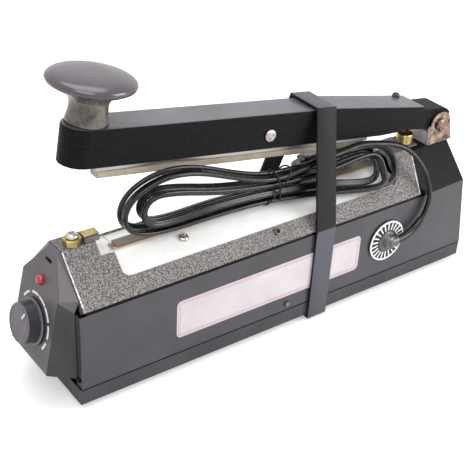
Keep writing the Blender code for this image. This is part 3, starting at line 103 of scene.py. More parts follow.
# small helpers
def deselectAll():
    if bpy.context.mode != "OBJECT":
        bpy.ops.object.mode_set(mode="OBJECT")
    bpy.ops.object.select_all(action="DESELECT")


def pick(piece):
    deselectAll()
    piece.select_set(True)
    bpy.context.view_layer.objects.active = piece


def settle(piece, matrix=None):
    if matrix is not None:
        piece.matrix_world = matrix
    pick(piece)
    bpy.ops.object.transform_apply(location=True, rotation=True, scale=True)
    return piece


def facing(place, axis, turn=0):
    quat = Vector(axis).to_track_quat("Z", "Y").to_matrix().to_4x4()
    return Matrix.Translation(place) @ quat @ Matrix.Rotation(turn, 4, "Z")


def modified(piece, kind, **settings):
    modifier = piece.modifiers.new(kind.lower(), kind)
    for setting, value in settings.items():
        setattr(modifier, setting, value)
    pick(piece)
    bpy.ops.object.modifier_apply(modifier=modifier.name)
    return piece


def bevelled(piece, width, segments=2, angle=30):
    limit = math.radians(angle)
    return modified(piece, "BEVEL", width=width, segments=segments, limit_method="ANGLE", angle_limit=limit)


def startEdit(piece):
    pick(piece)
    bpy.ops.object.mode_set(mode="EDIT")
    bpy.ops.mesh.select_all(action="SELECT")


def endEdit():
    bpy.ops.object.mode_set(mode="OBJECT")


def cleanNormals(piece):
    startEdit(piece)
    bpy.ops.mesh.normals_make_consistent(inside=False)
    endEdit()
    return piece


def dress(piece, *finishNames):
    piece.data.materials.clear()
    for name in finishNames:
        piece.data.materials.append(finishes[name])


def hand(piece, finishName, body, replaced=(), smooth=35):
    pick(piece)
    bpy.ops.object.shade_smooth_by_angle(angle=math.radians(smooth))
    if finishName:
        dress(piece, finishName)
    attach(piece, body)
    if replaced:
        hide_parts(*replaced)


def named(name, size=(1, 1, 1)):
    # what was added last gets its name and its size
    piece = bpy.context.active_object
    piece.name = name
    piece.scale = size
    return settle(piece)


def turnedPiece(name, profile, steps=64, ring=False):
    # a circle drawn up through (radius, height) pairs; both ends are filled, or joined to make a ring
    deselectAll()
    firstRadius, firstHeight = profile[0]
    bpy.ops.mesh.primitive_circle_add(vertices=steps, radius=firstRadius, location=(0, 0, firstHeight))
    piece = named(name)
    startEdit(piece)
    for (radius, height), (nextRadius, nextHeight) in zip(profile, profile[1:]):
        bpy.ops.mesh.extrude_edges_move(TRANSFORM_OT_translate={"value": (0, 0, nextHeight - height)})
        share = nextRadius / radius
        bpy.ops.transform.resize(value=(share, share, 1), center_override=(0, 0, nextHeight))
    if ring:
        bpy.ops.mesh.select_all(action="DESELECT")
        bpy.ops.mesh.select_non_manifold()
        bpy.ops.mesh.bridge_edge_loops()
    else:
        bpy.ops.mesh.select_all(action="SELECT")
        bpy.ops.mesh.fill_holes(sides=0)
    endEdit()
    return cleanNormals(piece)


def slab(name, size, place=(0, 0, 0)):
    deselectAll()
    bpy.ops.mesh.primitive_cube_add(size=1, location=place)
    return named(name, size)


def flatPiece(name, width, height):
    deselectAll()
    bpy.ops.mesh.primitive_plane_add(size=1, location=(0, 0, 0))
    return named(name, (width, height, 1))


def joined(name, pieces):
    deselectAll()
    for piece in pieces:
        piece.select_set(True)
    bpy.context.view_layer.objects.active = pieces[0]
    bpy.ops.object.join()
    pieces[0].name = name
    return pieces[0]


def camelName(node):
    first, *others = node.split("_")
    return first + "".join(word.title() for word in others)


# finishes
# what a look may set on the shader itself: (its key, the socket, the usual value)
shaderSockets = (
    ("ior", "IOR", 1.5),
    ("metal", "Metallic", 0),
    ("specular", "Specular IOR Level", 0.5),
    ("coat", "Coat Weight", 0),
    ("coatRough", "Coat Roughness", 0.1),
    ("tint", "Specular Tint", (1, 1, 1, 1)),
)


def paint(red, green, blue):
    # from a screen colour to the linear one that a shader takes
    def linear(level):
        level = level / 255
        return level / 12.92 if level < 0.04 else ((level + 0.055) / 1.055) ** 2.4
    return (linear(red), linear(green), linear(blue), 1)


def addNode(tree, kind, inputs=None, **settings):
    # each input takes a value or another node's output
    node = tree.nodes.new("ShaderNode" + kind)
    for setting, value in settings.items():
        setattr(node, setting, value)
    for socket, value in (inputs or {}).items():
        if isinstance(value, bpy.types.NodeSocket):
            tree.links.new(value, node.inputs[socket])
        else:
            node.inputs[socket].default_value = value
    return node


class Finish:
    def __init__(self, name, look):
        self.material = bpy.data.materials.new(name)
        self.material.use_nodes = True
        self.tree = self.material.node_tree
        self.sockets = self.tree.nodes["Principled BSDF"].inputs
        for key, socket, usual in shaderSockets:
            self.sockets[socket].default_value = look.get(key, usual)

    def add(self, kind, inputs=None, **settings):
        return addNode(self.tree, kind, inputs, **settings)

    def feed(self, socket, value):
        self.tree.links.new(value, self.sockets[socket])

    def roughness(self, value, ends, *span):
        self.feed("Roughness", self.between(value, *ends, *span))

    def bump(self, height, depth):
        inputs = {"Height": height, "Strength": 1, "Distance": depth * 0.00001}
        self.feed("Normal", self.add("Bump", inputs).outputs["Normal"])

    def space(self, stretch=(1, 1, 1)):
        coords = self.add("TexCoord")
        return self.add("Mapping", {"Vector": coords.outputs["Object"], "Scale": stretch}).outputs["Vector"]

    def noise(self, space, scale, detail=3, rough=0.5):
        inputs = {"Vector": space, "Scale": scale, "Detail": detail, "Roughness": rough}
        return self.add("TexNoise", inputs).outputs["Fac"]

    def between(self, value, low, high, start=0.35, end=0.65):
        return self.add("MapRange", dict(enumerate((value, start, end, low, high)))).outputs["Result"]

    def blend(self, share, first, second):
        return self.add("Mix", {0: share, 6: first, 7: second}, data_type="RGBA").outputs[2]

    def combine(self, first, second, operation):
        return self.add("Math", {0: first, 1: second}, operation=operation).outputs[0]


def coated(name, dark, light, patch, rough, grain, depth, more=None):
    # colour that wanders a little, handled-looking roughness and a fine skin
    more = more or {}
    finish = Finish(name, more)
    space = finish.space(more.get("stretch", (1, 1, 1)))
    wander = finish.noise(space, patch, 4, 0.6)
    finish.feed("Base Color", finish.blend(finish.between(wander, 0, 1), paint(*dark), paint(*light)))
    finish.roughness(finish.noise(space, patch * 2.7, 5, 0.65), rough)
    finish.bump(finish.noise(space, grain, 2), depth)
    return finish.material


def hammered(name, light, dark, cell, rough, depth, specular):
    # paint that has drawn itself into small worms; its crests are painted pale as a highlight and its pits
    # dark as painted shade
    finish = Finish(name, {"specular": specular})
    values = hammerValues
    space = finish.space()
    wobble = finish.add("TexNoise", {"Vector": space, "Scale": cell * values["wobble"], "Detail": 2})
    bend = {0: values["bend"], 4: space, 5: wobble.outputs["Color"]}
    bent = finish.add("Mix", bend, data_type="VECTOR").outputs[1]
    inputs = {"Vector": bent, "Scale": cell, "Smoothness": values["smooth"]}
    pits = finish.add("TexVoronoi", inputs, feature="SMOOTH_F1").outputs["Distance"]
    tone = finish.blend(finish.between(pits, 0, 1, *values["shade"]), paint(*light), paint(*dark))
    patch = finish.between(finish.noise(space, values["patch"]), *values["patchShare"])
    finish.feed("Base Color", finish.blend(patch, paint(*dark), tone))
    finish.roughness(pits, rough, *values["roughSpan"])
    finish.bump(finish.combine(1, pits, "SUBTRACT"), depth)
    return finish.material


def lined(name, light, dark, worn, lines, across, patch, rough, depth, more=None):
    # laid in lines: laminations, a winding, or two sets of ribs over and under each other
    waver, detail, grit, wear = (0.4, 3, 0.5, 0.3) if len(across) == 1 else (0.3, 4, 0.6, 0.35)
    finish = Finish(name, more or {})
    space = finish.space()
    inputs = {"Vector": space, "Scale": lines, "Distortion": waver, "Detail": 1}
    waves = [finish.add("TexWave", inputs, bands_direction=axis).outputs["Fac"] for axis in across]
    weave = finish.combine(*waves, "MULTIPLY") if len(waves) == 2 else waves[0]
    patches = finish.between(finish.noise(space, patch, detail, grit), 0, 1)
    tone = finish.blend(weave, paint(*dark), paint(*light))
    finish.feed("Base Color", finish.blend(finish.combine(patches, wear, "MULTIPLY"), tone, paint(*worn)))
    finish.roughness(weave, rough, 0, 1)
    finish.bump(weave, depth)
    return finish.material


# name: dark end, light end, patches a metre, roughness, grains a metre, their depth, what else it has;
# every depth is in hundredths of a millimetre
coatedLooks = {
    "sideEnamel": ((54, 52, 57), (66, 64, 70), 22, (0.28, 0.4), 900, 8, {"specular": 0.7}),
    "trayEnamel": ((52, 51, 56), (64, 63, 68), 26, (0.34, 0.5), 900, 8),
    # near-black: painted shade on the side housing's up-facing faces and rear end, and the cap screws' own
    # dark paint
    "rearEnamel": ((9, 7, 7), (15, 12, 12), 30, (0.36, 0.5), 900, 6, {"specular": 0.12}),
    "capEnamel": ((82, 77, 80), (96, 90, 94), 26, (0.3, 0.42), 1100, 5),
    "whiteEnamel": ((242, 242, 240), (252, 252, 250), 24, (0.24, 0.36), 700, 3, {"coat": 0.3}),
    "plated": ((178, 170, 166), (214, 207, 202), 160, (0.18, 0.36), 2600, 2, {"metal": 1}),
    "bracketPlate": ((92, 68, 56), (184, 164, 148), 240, (0.14, 0.34), 1800, 8, {"metal": 1}),
    # painted reflection: a pale, barely metallic grey for the bracket's lower front faces
    "bracketFace": ((176, 170, 178), (226, 222, 232), 120, (0.25, 0.4), 1800, 3, {"metal": 0.2}),
    "steel": (
        (166, 164, 162), (196, 194, 192), 60, (0.26, 0.44), 1500, 2,
        {"metal": 1, "stretch": (0.15, 1, 1)},
    ),
    "brass": ((150, 132, 84), (204, 188, 130), 150, (0.22, 0.42), 2400, 2, {"metal": 1}),
    "terminalResin": ((84, 80, 80), (104, 100, 100), 90, (0.4, 0.55), 1600, 4),
    "insulatorBoard": ((188, 164, 132), (206, 186, 156), 70, (0.55, 0.7), 1400, 4, {"stretch": (0.3, 1, 1)}),
    "silicone": ((158, 146, 128), (186, 174, 156), 60, (0.45, 0.6), 1600, 3),
    "glossKnob": (
        (56, 48, 55), (70, 62, 70), 26, (0.16, 0.26), 500, 2,
        {"specular": 1, "tint": (0.94, 0.87, 0.95, 1), "coat": 0.2, "coatRough": 0.14},
    ),
    "dialSide": ((14, 15, 24), (24, 26, 36), 90, (0.3, 0.42), 1600, 3, {"specular": 0.4}),
    "dialFace": ((92, 87, 92), (106, 100, 105), 90, (0.34, 0.46), 1600, 3),
    "lens": ((150, 4, 26), (190, 14, 40), 200, (0.05, 0.1), 900, 1, {"coat": 1, "coatRough": 0.03}),
    "jacket": ((10, 10, 11), (18, 18, 19), 60, (0.2, 0.32), 1500, 3),
    "rubber": ((20, 20, 20), (30, 29, 29), 90, (0.55, 0.7), 1800, 5, {"specular": 0.35}),
    "glandRubber": ((24, 24, 24), (38, 38, 37), 120, (0.45, 0.6), 1800, 4),
    "hubRubber": ((30, 31, 30), (92, 95, 92), 520, (0.12, 0.3), 1800, 10, {"specular": 0.9, "coat": 0.5}),
    "markWhite": ((226, 228, 230), (242, 243, 244), 200, (0.4, 0.5), 2000, 2),
    "plateWhite": ((200, 192, 197), (212, 205, 209), 40, (0.34, 0.48), 900, 1),
    "platePink": ((182, 128, 140), (194, 144, 154), 90, (0.36, 0.48), 900, 1),
    # dark grey: painted shade on the front cap's lower flanks, and the plain paint of the arm's tail screw
    "capShade": ((46, 45, 46), (58, 57, 58), 26, (0.34, 0.46), 1100, 5),
    # painted sheen: a lighter grey for the black arm's top face, where it catches the light
    "armTop": ((84, 80, 87), (98, 94, 101), 26, (0.26, 0.36), 900, 6, {"specular": 0.7}),
    # near-white with darker gaps: the cover's bare cut edges with a painted highlight
    "cutEdge": ((120, 116, 116), (250, 250, 250), 620, (0.3, 0.4), 1500, 4),
    # mottled near-black and beige: painted reflections of the surroundings on the handle's neck
    "knobNeck": ((14, 12, 11), (106, 97, 87), 130, (0.1, 0.26), 700, 3, {"coat": 0.6, "coatRough": 0.12}),
    "pinPlate": ((84, 62, 54), (176, 156, 142), 420, (0.2, 0.4), 1800, 8, {"metal": 1}),
    # near-black: painted shade in screw recesses and painted shadow in the gap above the tray
    "seamDark": ((8, 8, 8), (18, 17, 18), 90, (0.5, 0.7), 1500, 3, {"specular": 0.2}),
    "boardGreen": ((58, 110, 66), (74, 130, 80), 120, (0.3, 0.45), 1500, 5),
}
# name: light crests, dark pits, cells a metre, roughness, depth, specular
hammeredLooks = {
    "hammeredPaint": ((166, 158, 156), (66, 60, 61), 1350, (0.3, 0.5), 25, 0.6),
    "hammeredBlack": ((27, 24, 24), (7, 6, 7), 1300, (0.34, 0.5), 10, 0.12),
}
hammerValues = {
    "wobble": 0.8,
    "bend": 0.0012,
    "smooth": 0.6,
    "shade": (0.18, 0.62),
    "patch": 18,
    "patchShare": (0.86, 1),
    "roughSpan": (0.15, 0.6),
}
# name: light, dark, worn, lines a metre, across which axes, patches a metre, roughness, depth, what else
linedLooks = {
    "laminatedCore": (
        (132, 130, 126), (78, 74, 70), (78, 74, 70), 160, "X", 60, (0.45, 0.65), 12,
        {"metal": 0.6},
    ),
    "copperWinding": (
        (206, 132, 72), (122, 62, 28), (122, 62, 28), 340, "Z", 80, (0.25, 0.45), 20,
        {"metal": 0.8},
    ),
    "coatedCloth": ((138, 130, 122), (104, 96, 90), (120, 108, 96), 420, "XY", 40, (0.35, 0.5), 6),
    "strapWebbing": (
        (30, 27, 28), (14, 12, 13), (38, 35, 36), 300, "XZ", 50, (0.5, 0.7), 12,
        {"specular": 0.3},
    ),
    # painted sheen: a greyer webbing for the strap's upper face and the foot of its flanks
    "strapWebbingLow": ((92, 90, 102), (72, 70, 80), (84, 82, 94), 300, "XZ", 50, (0.4, 0.6), 10),
}
finishes = {}
for make, looks in ((coated, coatedLooks), (hammered, hammeredLooks), (lined, linedLooks)):
    for name, look in looks.items():
        finishes[name] = make(name, *look)
print("finishes made:", len(finishes))


# the cord: a flat twin flex in one unbroken run, from the gland through the hank to its plug
cordValues = {
    "radius": 0.0014,
    "apart": 0.00095,
    "coreArc": math.radians(118),  # each core's round, to either side of its outermost point
    "sides": 7,
    "seam": 0.0003,
    "run": 0.005,
    "length": 1.65,
    "width": 0.0047,
    "leadPoints": 80,
    "tailPoints": 30,
    "loopPoints": 48,
    "points": 560,
    "hankShare": 0.16,  # where on the route the hank's flat side is fixed
}
leadRoute = (
    (0.0816, -0.0352, 0.036), (0.0856, -0.0352, 0.0361), (0.096, -0.035, 0.0395),
    (0.1048, -0.0346, 0.049), (0.1078, -0.0342, 0.06), (0.1068, -0.033, 0.069),
    (0.1045, -0.03, 0.078), (0.1005, -0.0255, 0.0862), (0.095, -0.021, 0.0925),
    (0.086, -0.0172, 0.097), (0.075, -0.015, 0.0995), (0.064, -0.015, 0.1022),
    (0.056, -0.0155, 0.1034),
)
tailMiddle = (0.0275, 0.0035, 0.0825)
plugSeat = Vector((0.04, 0.0165, 0.0804))
hankValues = {
    "waist": (-0.0039, -0.0088, 0.0882),
    "start": math.radians(58),
    "end": math.radians(1361),
    # each move to another loop is (the angle where it starts, its span)
    "toInner": (math.radians(306), math.radians(54)),
    "toFar": (math.radians(662), math.radians(36)),
    "toOuter": (math.radians(1000), math.radians(34)),
    # inner and outer loop, left and right of the waist
    "reachLeft": (0.0928, 0.1052),
    "reachRight": (0.079, 0.093),
    "bulgeLeft": (0.014, 0.026),
    "bulgeRight": (0.006, 0.014),
    "crest": 0.046,
    "row": 0.0056,
    "column": 0.00505,
    "lean": math.radians(101),
    "twist": math.radians(-450),
    "riseLeft": -0.125,
    "riseRight": -0.04,
    "spread": -0.1,
    "entryLift": (0, -0.002, 0.006),
    "entrySpan": math.radians(36),
    "foldRadius": 0.0096,
    "foldShare": 0.84,
    "foldStart": 0.25,  # the share of the reach at which the fold begins to open
    "foldOver": 0.65,
    "spill": 0.007,
    "spillShare": 0.9,
}


def ease(share):
    share = min(max(share, 0), 1)
    return share * share * (3 - 2 * share)


def hankPoint(angle, values):
    def over(window):
        return ease((angle - window[0]) / window[1])

    def mixed(pair, share):
        return pair[0] + (pair[1] - pair[0]) * share

    outer = 1 - over(values["toInner"]) + over(values["toOuter"])
    near = 1 - over(values["toFar"])
    out, up = math.cos(angle), math.sin(angle)
    left = out < 0
    end = "Left" if left else "Right"
    reach = mixed(values["reach" + end], outer)
    bulge = mixed(values["bulge" + end], outer)
    crest = values["crest"] * outer * (out * up) ** 2 if left and up > 0 else 0
    row = values["row"] * (0.5 + outer)
    rise = up * (row + bulge * out ** 2 + crest)
    # the flex can't fold flat: each end opens into a round of this radius
    foldSize = min(values["foldRadius"], values["foldShare"] * (row + bulge))
    fromEnd = min(reach * (1 - abs(out)) / foldSize, 1)
    opened = ease((abs(out) - values["foldStart"]) / values["foldOver"])
    fold = foldSize * math.sqrt(1 - (1 - fromEnd) ** 2) * opened
    rise = math.copysign((abs(rise) ** 3 + fold ** 3) ** (1 / 3), up)
    side = values["column"] * (near - 0.5)
    waistX, waistY, waistZ = values["waist"]
    x = waistX + reach * out
    run = x - waistX
    lean = values["lean"] + (0 if left else values["twist"] * run)
    y = waistY + (0 if left else values["spread"] * run)
    z = waistZ + values["rise" + end] * run
    y += rise * math.cos(lean) - side * math.sin(lean)
    z += rise * math.sin(lean) + side * math.cos(lean)
    if not left and up < 0:
        y -= values["spill"] * out ** 2 * ease(-up / values["spillShare"])
    lift = 1 - ease((angle - values["start"]) / values["entrySpan"])
    return Vector((x, y, z)) + Vector(values["entryLift"]) * lift


def splinePoint(points, share):
    # centripetal: the knots are spaced by the root of the distances
    knots = [0.0]
    for start, end in zip(points, points[1:]):
        knots.append(knots[-1] + math.sqrt(np.linalg.norm(end - start)))
    spot = knots[1] + (knots[2] - knots[1]) * share

    def mixed(first, second, start, end):
        return (end - spot) / (end - start) * first + (spot - start) / (end - start) * second

    for gap in (1, 2):
        pairs = enumerate(zip(points, points[1:]))
        points = [mixed(first, second, knots[at], knots[at + gap]) for at, (first, second) in pairs]
    return mixed(*points, knots[1], knots[2])


def smoothRoute(points, count, fine=24):
    points = np.array([tuple(point) for point in points])
    padded = np.vstack([2 * points[0] - points[1], points, 2 * points[-1] - points[-2]])
    dense = []
    for here in range(1, len(padded) - 2):
        for step in range(fine):
            dense.append(splinePoint(padded[here - 1 : here + 3], step / fine))
    dense = np.array(dense + [points[-1]])
    lengths = np.concatenate([[0], np.cumsum(np.linalg.norm(np.diff(dense, axis=0), axis=1))])
    even = np.linspace(0, lengths[-1], count)
    return [Vector([np.interp(spot, lengths, dense[:, axis]) for axis in range(3)]) for spot in even]


def cordRoute(values, hank):
    start, turned = hank["start"], hank["end"] - hank["start"]
    count = round(turned / math.tau * values["loopPoints"])
    loops = [hankPoint(start + turned * step / count, hank) for step in range(count + 1)]
    startRun = (loops[0] - loops[1]).normalized()
    endRun = (loops[-1] - loops[-2]).normalized()
    seam, run = values["seam"], values["run"]
    leadEnd = loops[0] + startRun * seam
    lead = smoothRoute([*leadRoute, leadEnd + startRun * run, leadEnd], values["leadPoints"])
    tailStart = loops[-1] + endRun * seam
    tailEnd = plugSeat - Vector((seam, 0, 0))
    tailPoints = [tailStart, tailStart + endRun * run, tailMiddle, tailEnd - Vector((run, 0, 0)), tailEnd]
    tail = smoothRoute(tailPoints, values["tailPoints"])
    whole = smoothRoute(lead[:-1] + loops + tail[1:], values["points"])
    return [point + origin for point in whole], round(len(whole) * values["hankShare"])


def carriedNormals(route, start, normal):
    # the flat side's direction, carried both ways from one point without twisting
    runs = [(b - a).normalized() for a, b in zip(route, route[1:])]
    runs = [runs[0]] + [(a + b).normalized() for a, b in zip(runs, runs[1:])] + [runs[-1]]
    normals = [None] * len(route)
    for order in (range(start, len(route)), range(start, -1, -1)):
        carried = normal
        for here in order:
            carried = (carried - runs[here] * carried.dot(runs[here])).normalized()
            normals[here] = carried
    return runs, normals


def ringRound(centre, first, second, radius, sides):
    angles = [math.tau * side / sides for side in range(sides)]
    return [centre + (first * math.cos(angle) + second * math.sin(angle)) * radius for angle in angles]


def tube(name, rings, closed=False):
    # rings of points, bridged in order; it closes on itself, or each end gets one face
    sides, count = len(rings[0]), len(rings)
    ends = [tuple(range(sides - 1, -1, -1)), tuple(range((count - 1) * sides, count * sides))]
    faces = [] if closed else ends
    for row in range(count if closed else count - 1):
        here, there = row * sides, (row + 1) % count * sides
        for side in range(sides):
            after = (side + 1) % sides
            faces.append((here + side, here + after, there + after, there + side))
    mesh = bpy.data.meshes.new(name)
    mesh.from_pydata([tuple(point) for ring in rings for point in ring], [], faces)
    return cleanNormals(placed(name, mesh))


def twinSection(values):
    # two round cores side by side, grown together in the middle
    radius, apart, sides = values["radius"], values["apart"], values["sides"]
    half = []
    for step in range(sides + 1):
        angle = values["coreArc"] * (2 * step / sides - 1)
        half.append((apart + radius * math.cos(angle), radius * math.sin(angle)))
    return half + [(-u, -v) for u, v in half]


def makeCord(values, hank):
    route, hankStart = cordRoute(values, hank)
    column = Vector((0, -math.sin(hank["lean"]), math.cos(hank["lean"])))
    runs, normals = carriedNormals(route, hankStart, column)
    section = twinSection(values)
    rings = []
    for point, run, normal in zip(route, runs, normals):
        across = run.cross(normal)
        rings.append([point + normal * u + across * v for u, v in section])
    return tube("mainsCord", rings), route, runs, normals


cord, cordPath, cordRuns, cordNormals = makeCord(cordValues, hankValues)
hand(cord, "jacket", "base", ("cord_lead", "cord_hank", "cord_tail"), smooth=50)
print("cord laid, points on its route:", len(cordPath))


# strain reliefs: tapered sleeves that follow the cord out of the gland and out of the plug
reliefValues = {
    # radius at the foot, radius at the tip, points of the cord's route
    "gland": (0.003, 0.0025, 9),
    "plug": (0.0044, 0.0028, 9),
    "ribs": 2,
    "groove": 0.93,
    "sides": 20,
}


def makeRelief(name, values, wide, narrow, count, fromStart):
    rings = []
    last = count - 1
    for here in range(count):
        spot = here if fromStart else -1 - here
        radius = wide + (narrow - wide) * here / last
        radius *= values["groove"] if here % values["ribs"] == values["ribs"] - 1 and here < last else 1
        across = cordRuns[spot].cross(cordNormals[spot])
        rings.append(ringRound(cordPath[spot], cordNormals[spot], across, radius, values["sides"]))
    return tube(name, rings)


for end in ("gland", "plug"):
    relief = makeRelief(end + "Relief", reliefValues, *reliefValues[end], fromStart=end == "gland")
    hand(relief, "jacket", "base", smooth=60)


# tie: a wire wound twice round the bundle's waist, its turns crossing
tieValues = {
    "half": (0.0053, 0.0112),  # half the wound bundle's width and height
    "shift": (-0.0005, 0.0011),
    "slants": (0.0085, -0.0035),
    "square": 3.4,  # each turn is a superellipse of this power, a rounded rectangle
    "wire": 0.00055,
    "steps": 48,
    "sides": 8,
}


def makeTieTurn(values, slant):
    waist = Vector(hankValues["waist"]) + origin
    matrix = Matrix.Translation(waist) @ Matrix.Rotation(hankValues["lean"] - math.pi / 2, 4, "X")
    (wide, high), (aside, lift), power = values["half"], values["shift"], values["square"]
    rings = []
    for step in range(values["steps"]):
        angle = math.tau * step / values["steps"]
        out, up = math.cos(angle), math.sin(angle)
        spread = (abs(out) ** power + abs(up) ** power) ** (-1 / power)
        centre = Vector((slant * up, aside + wide * out * spread, lift + high * up * spread))
        away = Vector((0, out / wide, up / high)).normalized()
        ring = ringRound(centre, away, Vector((1, 0, 0)), values["wire"], values["sides"])
        rings.append([matrix @ point for point in ring])
    return tube("tieTurn", rings, closed=True)


tieTurns = [makeTieTurn(tieValues, slant) for slant in tieValues["slants"]]
hand(joined("cordTie", tieTurns), "rubber", "base", ("cord_tie",), smooth=60)


# softened copies of CAD nodes: the same shape with eased edges
weldDistance = 0.00001
flatAngle = math.radians(0.6)
softValues = {
    # node: (edge, segments, finish, slot)
    "base_tray": (0.0006, 2, "trayEnamel", "dark_enamel"),
    "side_housing": (0.0005, 2, "sideEnamel", "dark_enamel"),
    "rear_end_plate": (0.0004, 2, "trayEnamel", "dark_enamel"),
    "top_cover": (0.0005, 2, "hammeredPaint", "hammer_paint"),
    "front_end_cap": (0.0005, 2, "capEnamel", "cap_paint"),
    "platform_plate": (0.0003, 2, "whiteEnamel", "white_enamel"),
    "arm_channel": (0.0006, 3, "hammeredBlack", "arm_enamel"),
    "arm_tang": (0.0004, 2, "hammeredBlack", "arm_enamel"),
    "hinge_bracket": (0.0004, 2, "bracketPlate", "plated_bracket"),
    "hinge_nut": (0.0004, 2, "plated", "plated_screw"),
    "pressure_bar": (0.0006, 2, "steel", "steel"),
    "silicone_strip": (0.0004, 2, "silicone", "silicone"),
    "ridge_insulator": (0.0003, 2, "insulatorBoard", "insulator_board"),
    "sealing_cloth": (0.0001, 2, "coatedCloth", "sealing_cloth"),
    "terminal_nut_front": (0.0007, 3, "brass", "brass"),
    "terminal_bush_rear": (0.0006, 3, "brass", "brass"),
    "terminal_tab": (0.0002, 2, "brass", "brass"),
    "terminal_block": (0.0005, 2, "terminalResin", "terminal_resin"),
    "terminal_base_rear": (0.0003, 2, "terminalResin", "terminal_resin"),
    "transformer_core": (0.0004, 2, "laminatedCore", "laminated_core"),
    "transformer_coil": (0.0022, 4, "copperWinding", "copper_winding"),
    "circuit_board": (0.0003, 2, "boardGreen", "board_green"),
    "plug_pin_near": (0.0003, 2, "brass", "plated_screw"),
    "plug_pin_far": (0.0003, 2, "brass", "plated_screw"),
}
for foot in ("front_near", "front_far", "rear_near", "rear_far"):
    softValues["foot_" + foot] = (0.0006, 3, "rubber", "foot_rubber")


def softCopy(node, edge, segments):
    piece = placed(camelName(node), frame["nodes"][node].data.copy())
    pick(piece)
    bpy.ops.mesh.customdata_custom_splitnormals_clear()
    startEdit(piece)
    bpy.ops.mesh.remove_doubles(threshold=weldDistance)
    bpy.ops.mesh.dissolve_limited(angle_limit=flatAngle)
    endEdit()
    return bevelled(piece, edge, segments)


def secondFinish(piece, finishName, wanted):
    # the faces that wanted() picks, by their centre and normal, take another finish
    piece.data.materials.append(finishes[finishName])
    for face in piece.data.polygons:
        if wanted(face.center, face.normal):
            face.material_index = 1


secondValues = {
    # node: (finish, the faces that take it)
    # the arm's top faces take a lighter grey: painted sheen
    "arm_channel": ("armTop", lambda centre, normal: normal.dot(armUp) > 0.8 and centre.z > 0.12),
    # the housing's up-facing faces and its rear end take a near-black: painted shade
    "side_housing": ("rearEnamel", lambda centre, normal: normal.z > 0.35 or centre.x > 0.1585),
    # the bracket's lower front faces take a pale grey: painted reflection
    "hinge_bracket": ("bracketFace", lambda centre, normal: normal.x < -0.3 and centre.z < 0.1),
    # the front cap's lower flanks take a darker grey: painted shade
    "front_end_cap": ("capShade", lambda centre, normal: centre.z < 0.066 and abs(normal.y) > 0.25),
}
for node, (edge, segments, finishName, slotName) in softValues.items():
    softened = softCopy(node, edge, segments)
    hand(softened, finishName, bodyOf[node], (node,))
    if node in secondValues:
        secondFinish(softened, *secondValues[node])
    # large faces stay flat, and the eased edges turn between them
    modified(softened, "WEIGHTED_NORMAL", keep_sharp=True)
print("softened copies:", len(softValues))


# screws: one cross-recess head, modelled once at unit size and copied to each seat
screwValues = {
    # node, near and far where it has two turns: (near seat, axis, head radius, head height, turns)
    "side_screw": ((0.0068, -0.0313, 0.019), (0, -1, 0), 0.0021, 0.0011, (20, 50)),
    "plate_screw_front": ((-0.0579, -0.0101, 0.0776), (0, -0.3234, 0.9463), 0.0032, 0.0018, (35, 10)),
    "plate_screw_rear": ((0.0633, -0.0101, 0.0776), (0, -0.3234, 0.9463), 0.0032, 0.0018, (62, 5)),
    "cover_screw": ((-0.0011, -0.02594, 0.07181), (0, -0.7278, 0.6858), 0.0022, 0.0012, (30, 75)),
    "cap_screw": ((-0.1374, -0.0281, 0.02), (-1, 0, 0), 0.0018, 0.001, (15, 40)),
    "bracket_screw_front": ((0.1409, 0, 0.08932), (0, 0, 1), 0.0032, 0.0018, (25,)),
    "bracket_screw_rear": ((0.1494, 0, 0.08932), (0, 0, 1), 0.0032, 0.0018, (55,)),
    "arm_screw": ((0.00014, -0.0113, 0.12899), (0, -1, 0), 0.004, 0.0016, (40, 12)),
    "terminal_screw": ((-0.1255, -0.003, 0.09658), (0, 0, 1), 0.0036, 0.0023, (30,)),
}
headValues = {
    # radius and height, as shares of the screw's own
    "profile": ((0.97, 0), (1, 0.12), (0.99, 0.34), (0.92, 0.62), (0.78, 0.84), (0.55, 0.96), (0.2, 1)),
    "steps": 32,
    "slot": (1.15, 0.26, 1),
    "slotHeight": 1.02,
    "recess": 0.62,  # the share of the radius that the recess's own finish covers
}
# painted over with their panel: (finish, finish of the recess); a near-black recess is painted shade
paintedScrews = {
    "cover": ("hammeredPaint", "seamDark"),
    "side": ("sideEnamel", "plated"),
    "cap": ("rearEnamel", "seamDark"),
}
# one more, too small for a node of its own, near the arm's rear end
tailScrewValues = {
    "seat": (0.1192, 0.008, 0.1194),
    "axis": tiltedUp(12.4),
    "radius": 0.0026,
    "height": 0.0027,
}


def makeScrewHead(values):
    head = turnedPiece("screwHead", values["profile"], values["steps"])
    for turn in (0, 90):
        slot = slab("recessCutter", values["slot"], (0, 0, values["slotHeight"]))
        settle(slot, Matrix.Rotation(math.radians(turn), 4, "Z"))
        modified(head, "BOOLEAN", operation="DIFFERENCE", solver="EXACT", object=slot)
        bpy.data.meshes.remove(slot.data)
    return head


def seatedHead(name, seat, axis, radius, height, turn=0):
    place = facing(seat, axis, math.radians(turn)) @ Matrix.Diagonal((radius, radius, height, 1))
    return settle(placed(name, screwHead.data.copy()), place)


def placeScrew(node, seat, axis, radius, height, turn):
    head = seatedHead(camelName(node), seat, axis, radius, height, turn)
    outer, inner = paintedScrews.get(node.split("_")[0], ("plated", "plated"))
    hand(head, outer, bodyOf[node], (node,))
    # a recess finish unlike the head's own: near-black is painted shade
    if inner != outer:
        middle, away, reach = Vector(seat), Vector(axis).normalized(), radius * headValues["recess"]
        secondFinish(head, inner, lambda centre, normal: (centre - middle).cross(away).length < reach)


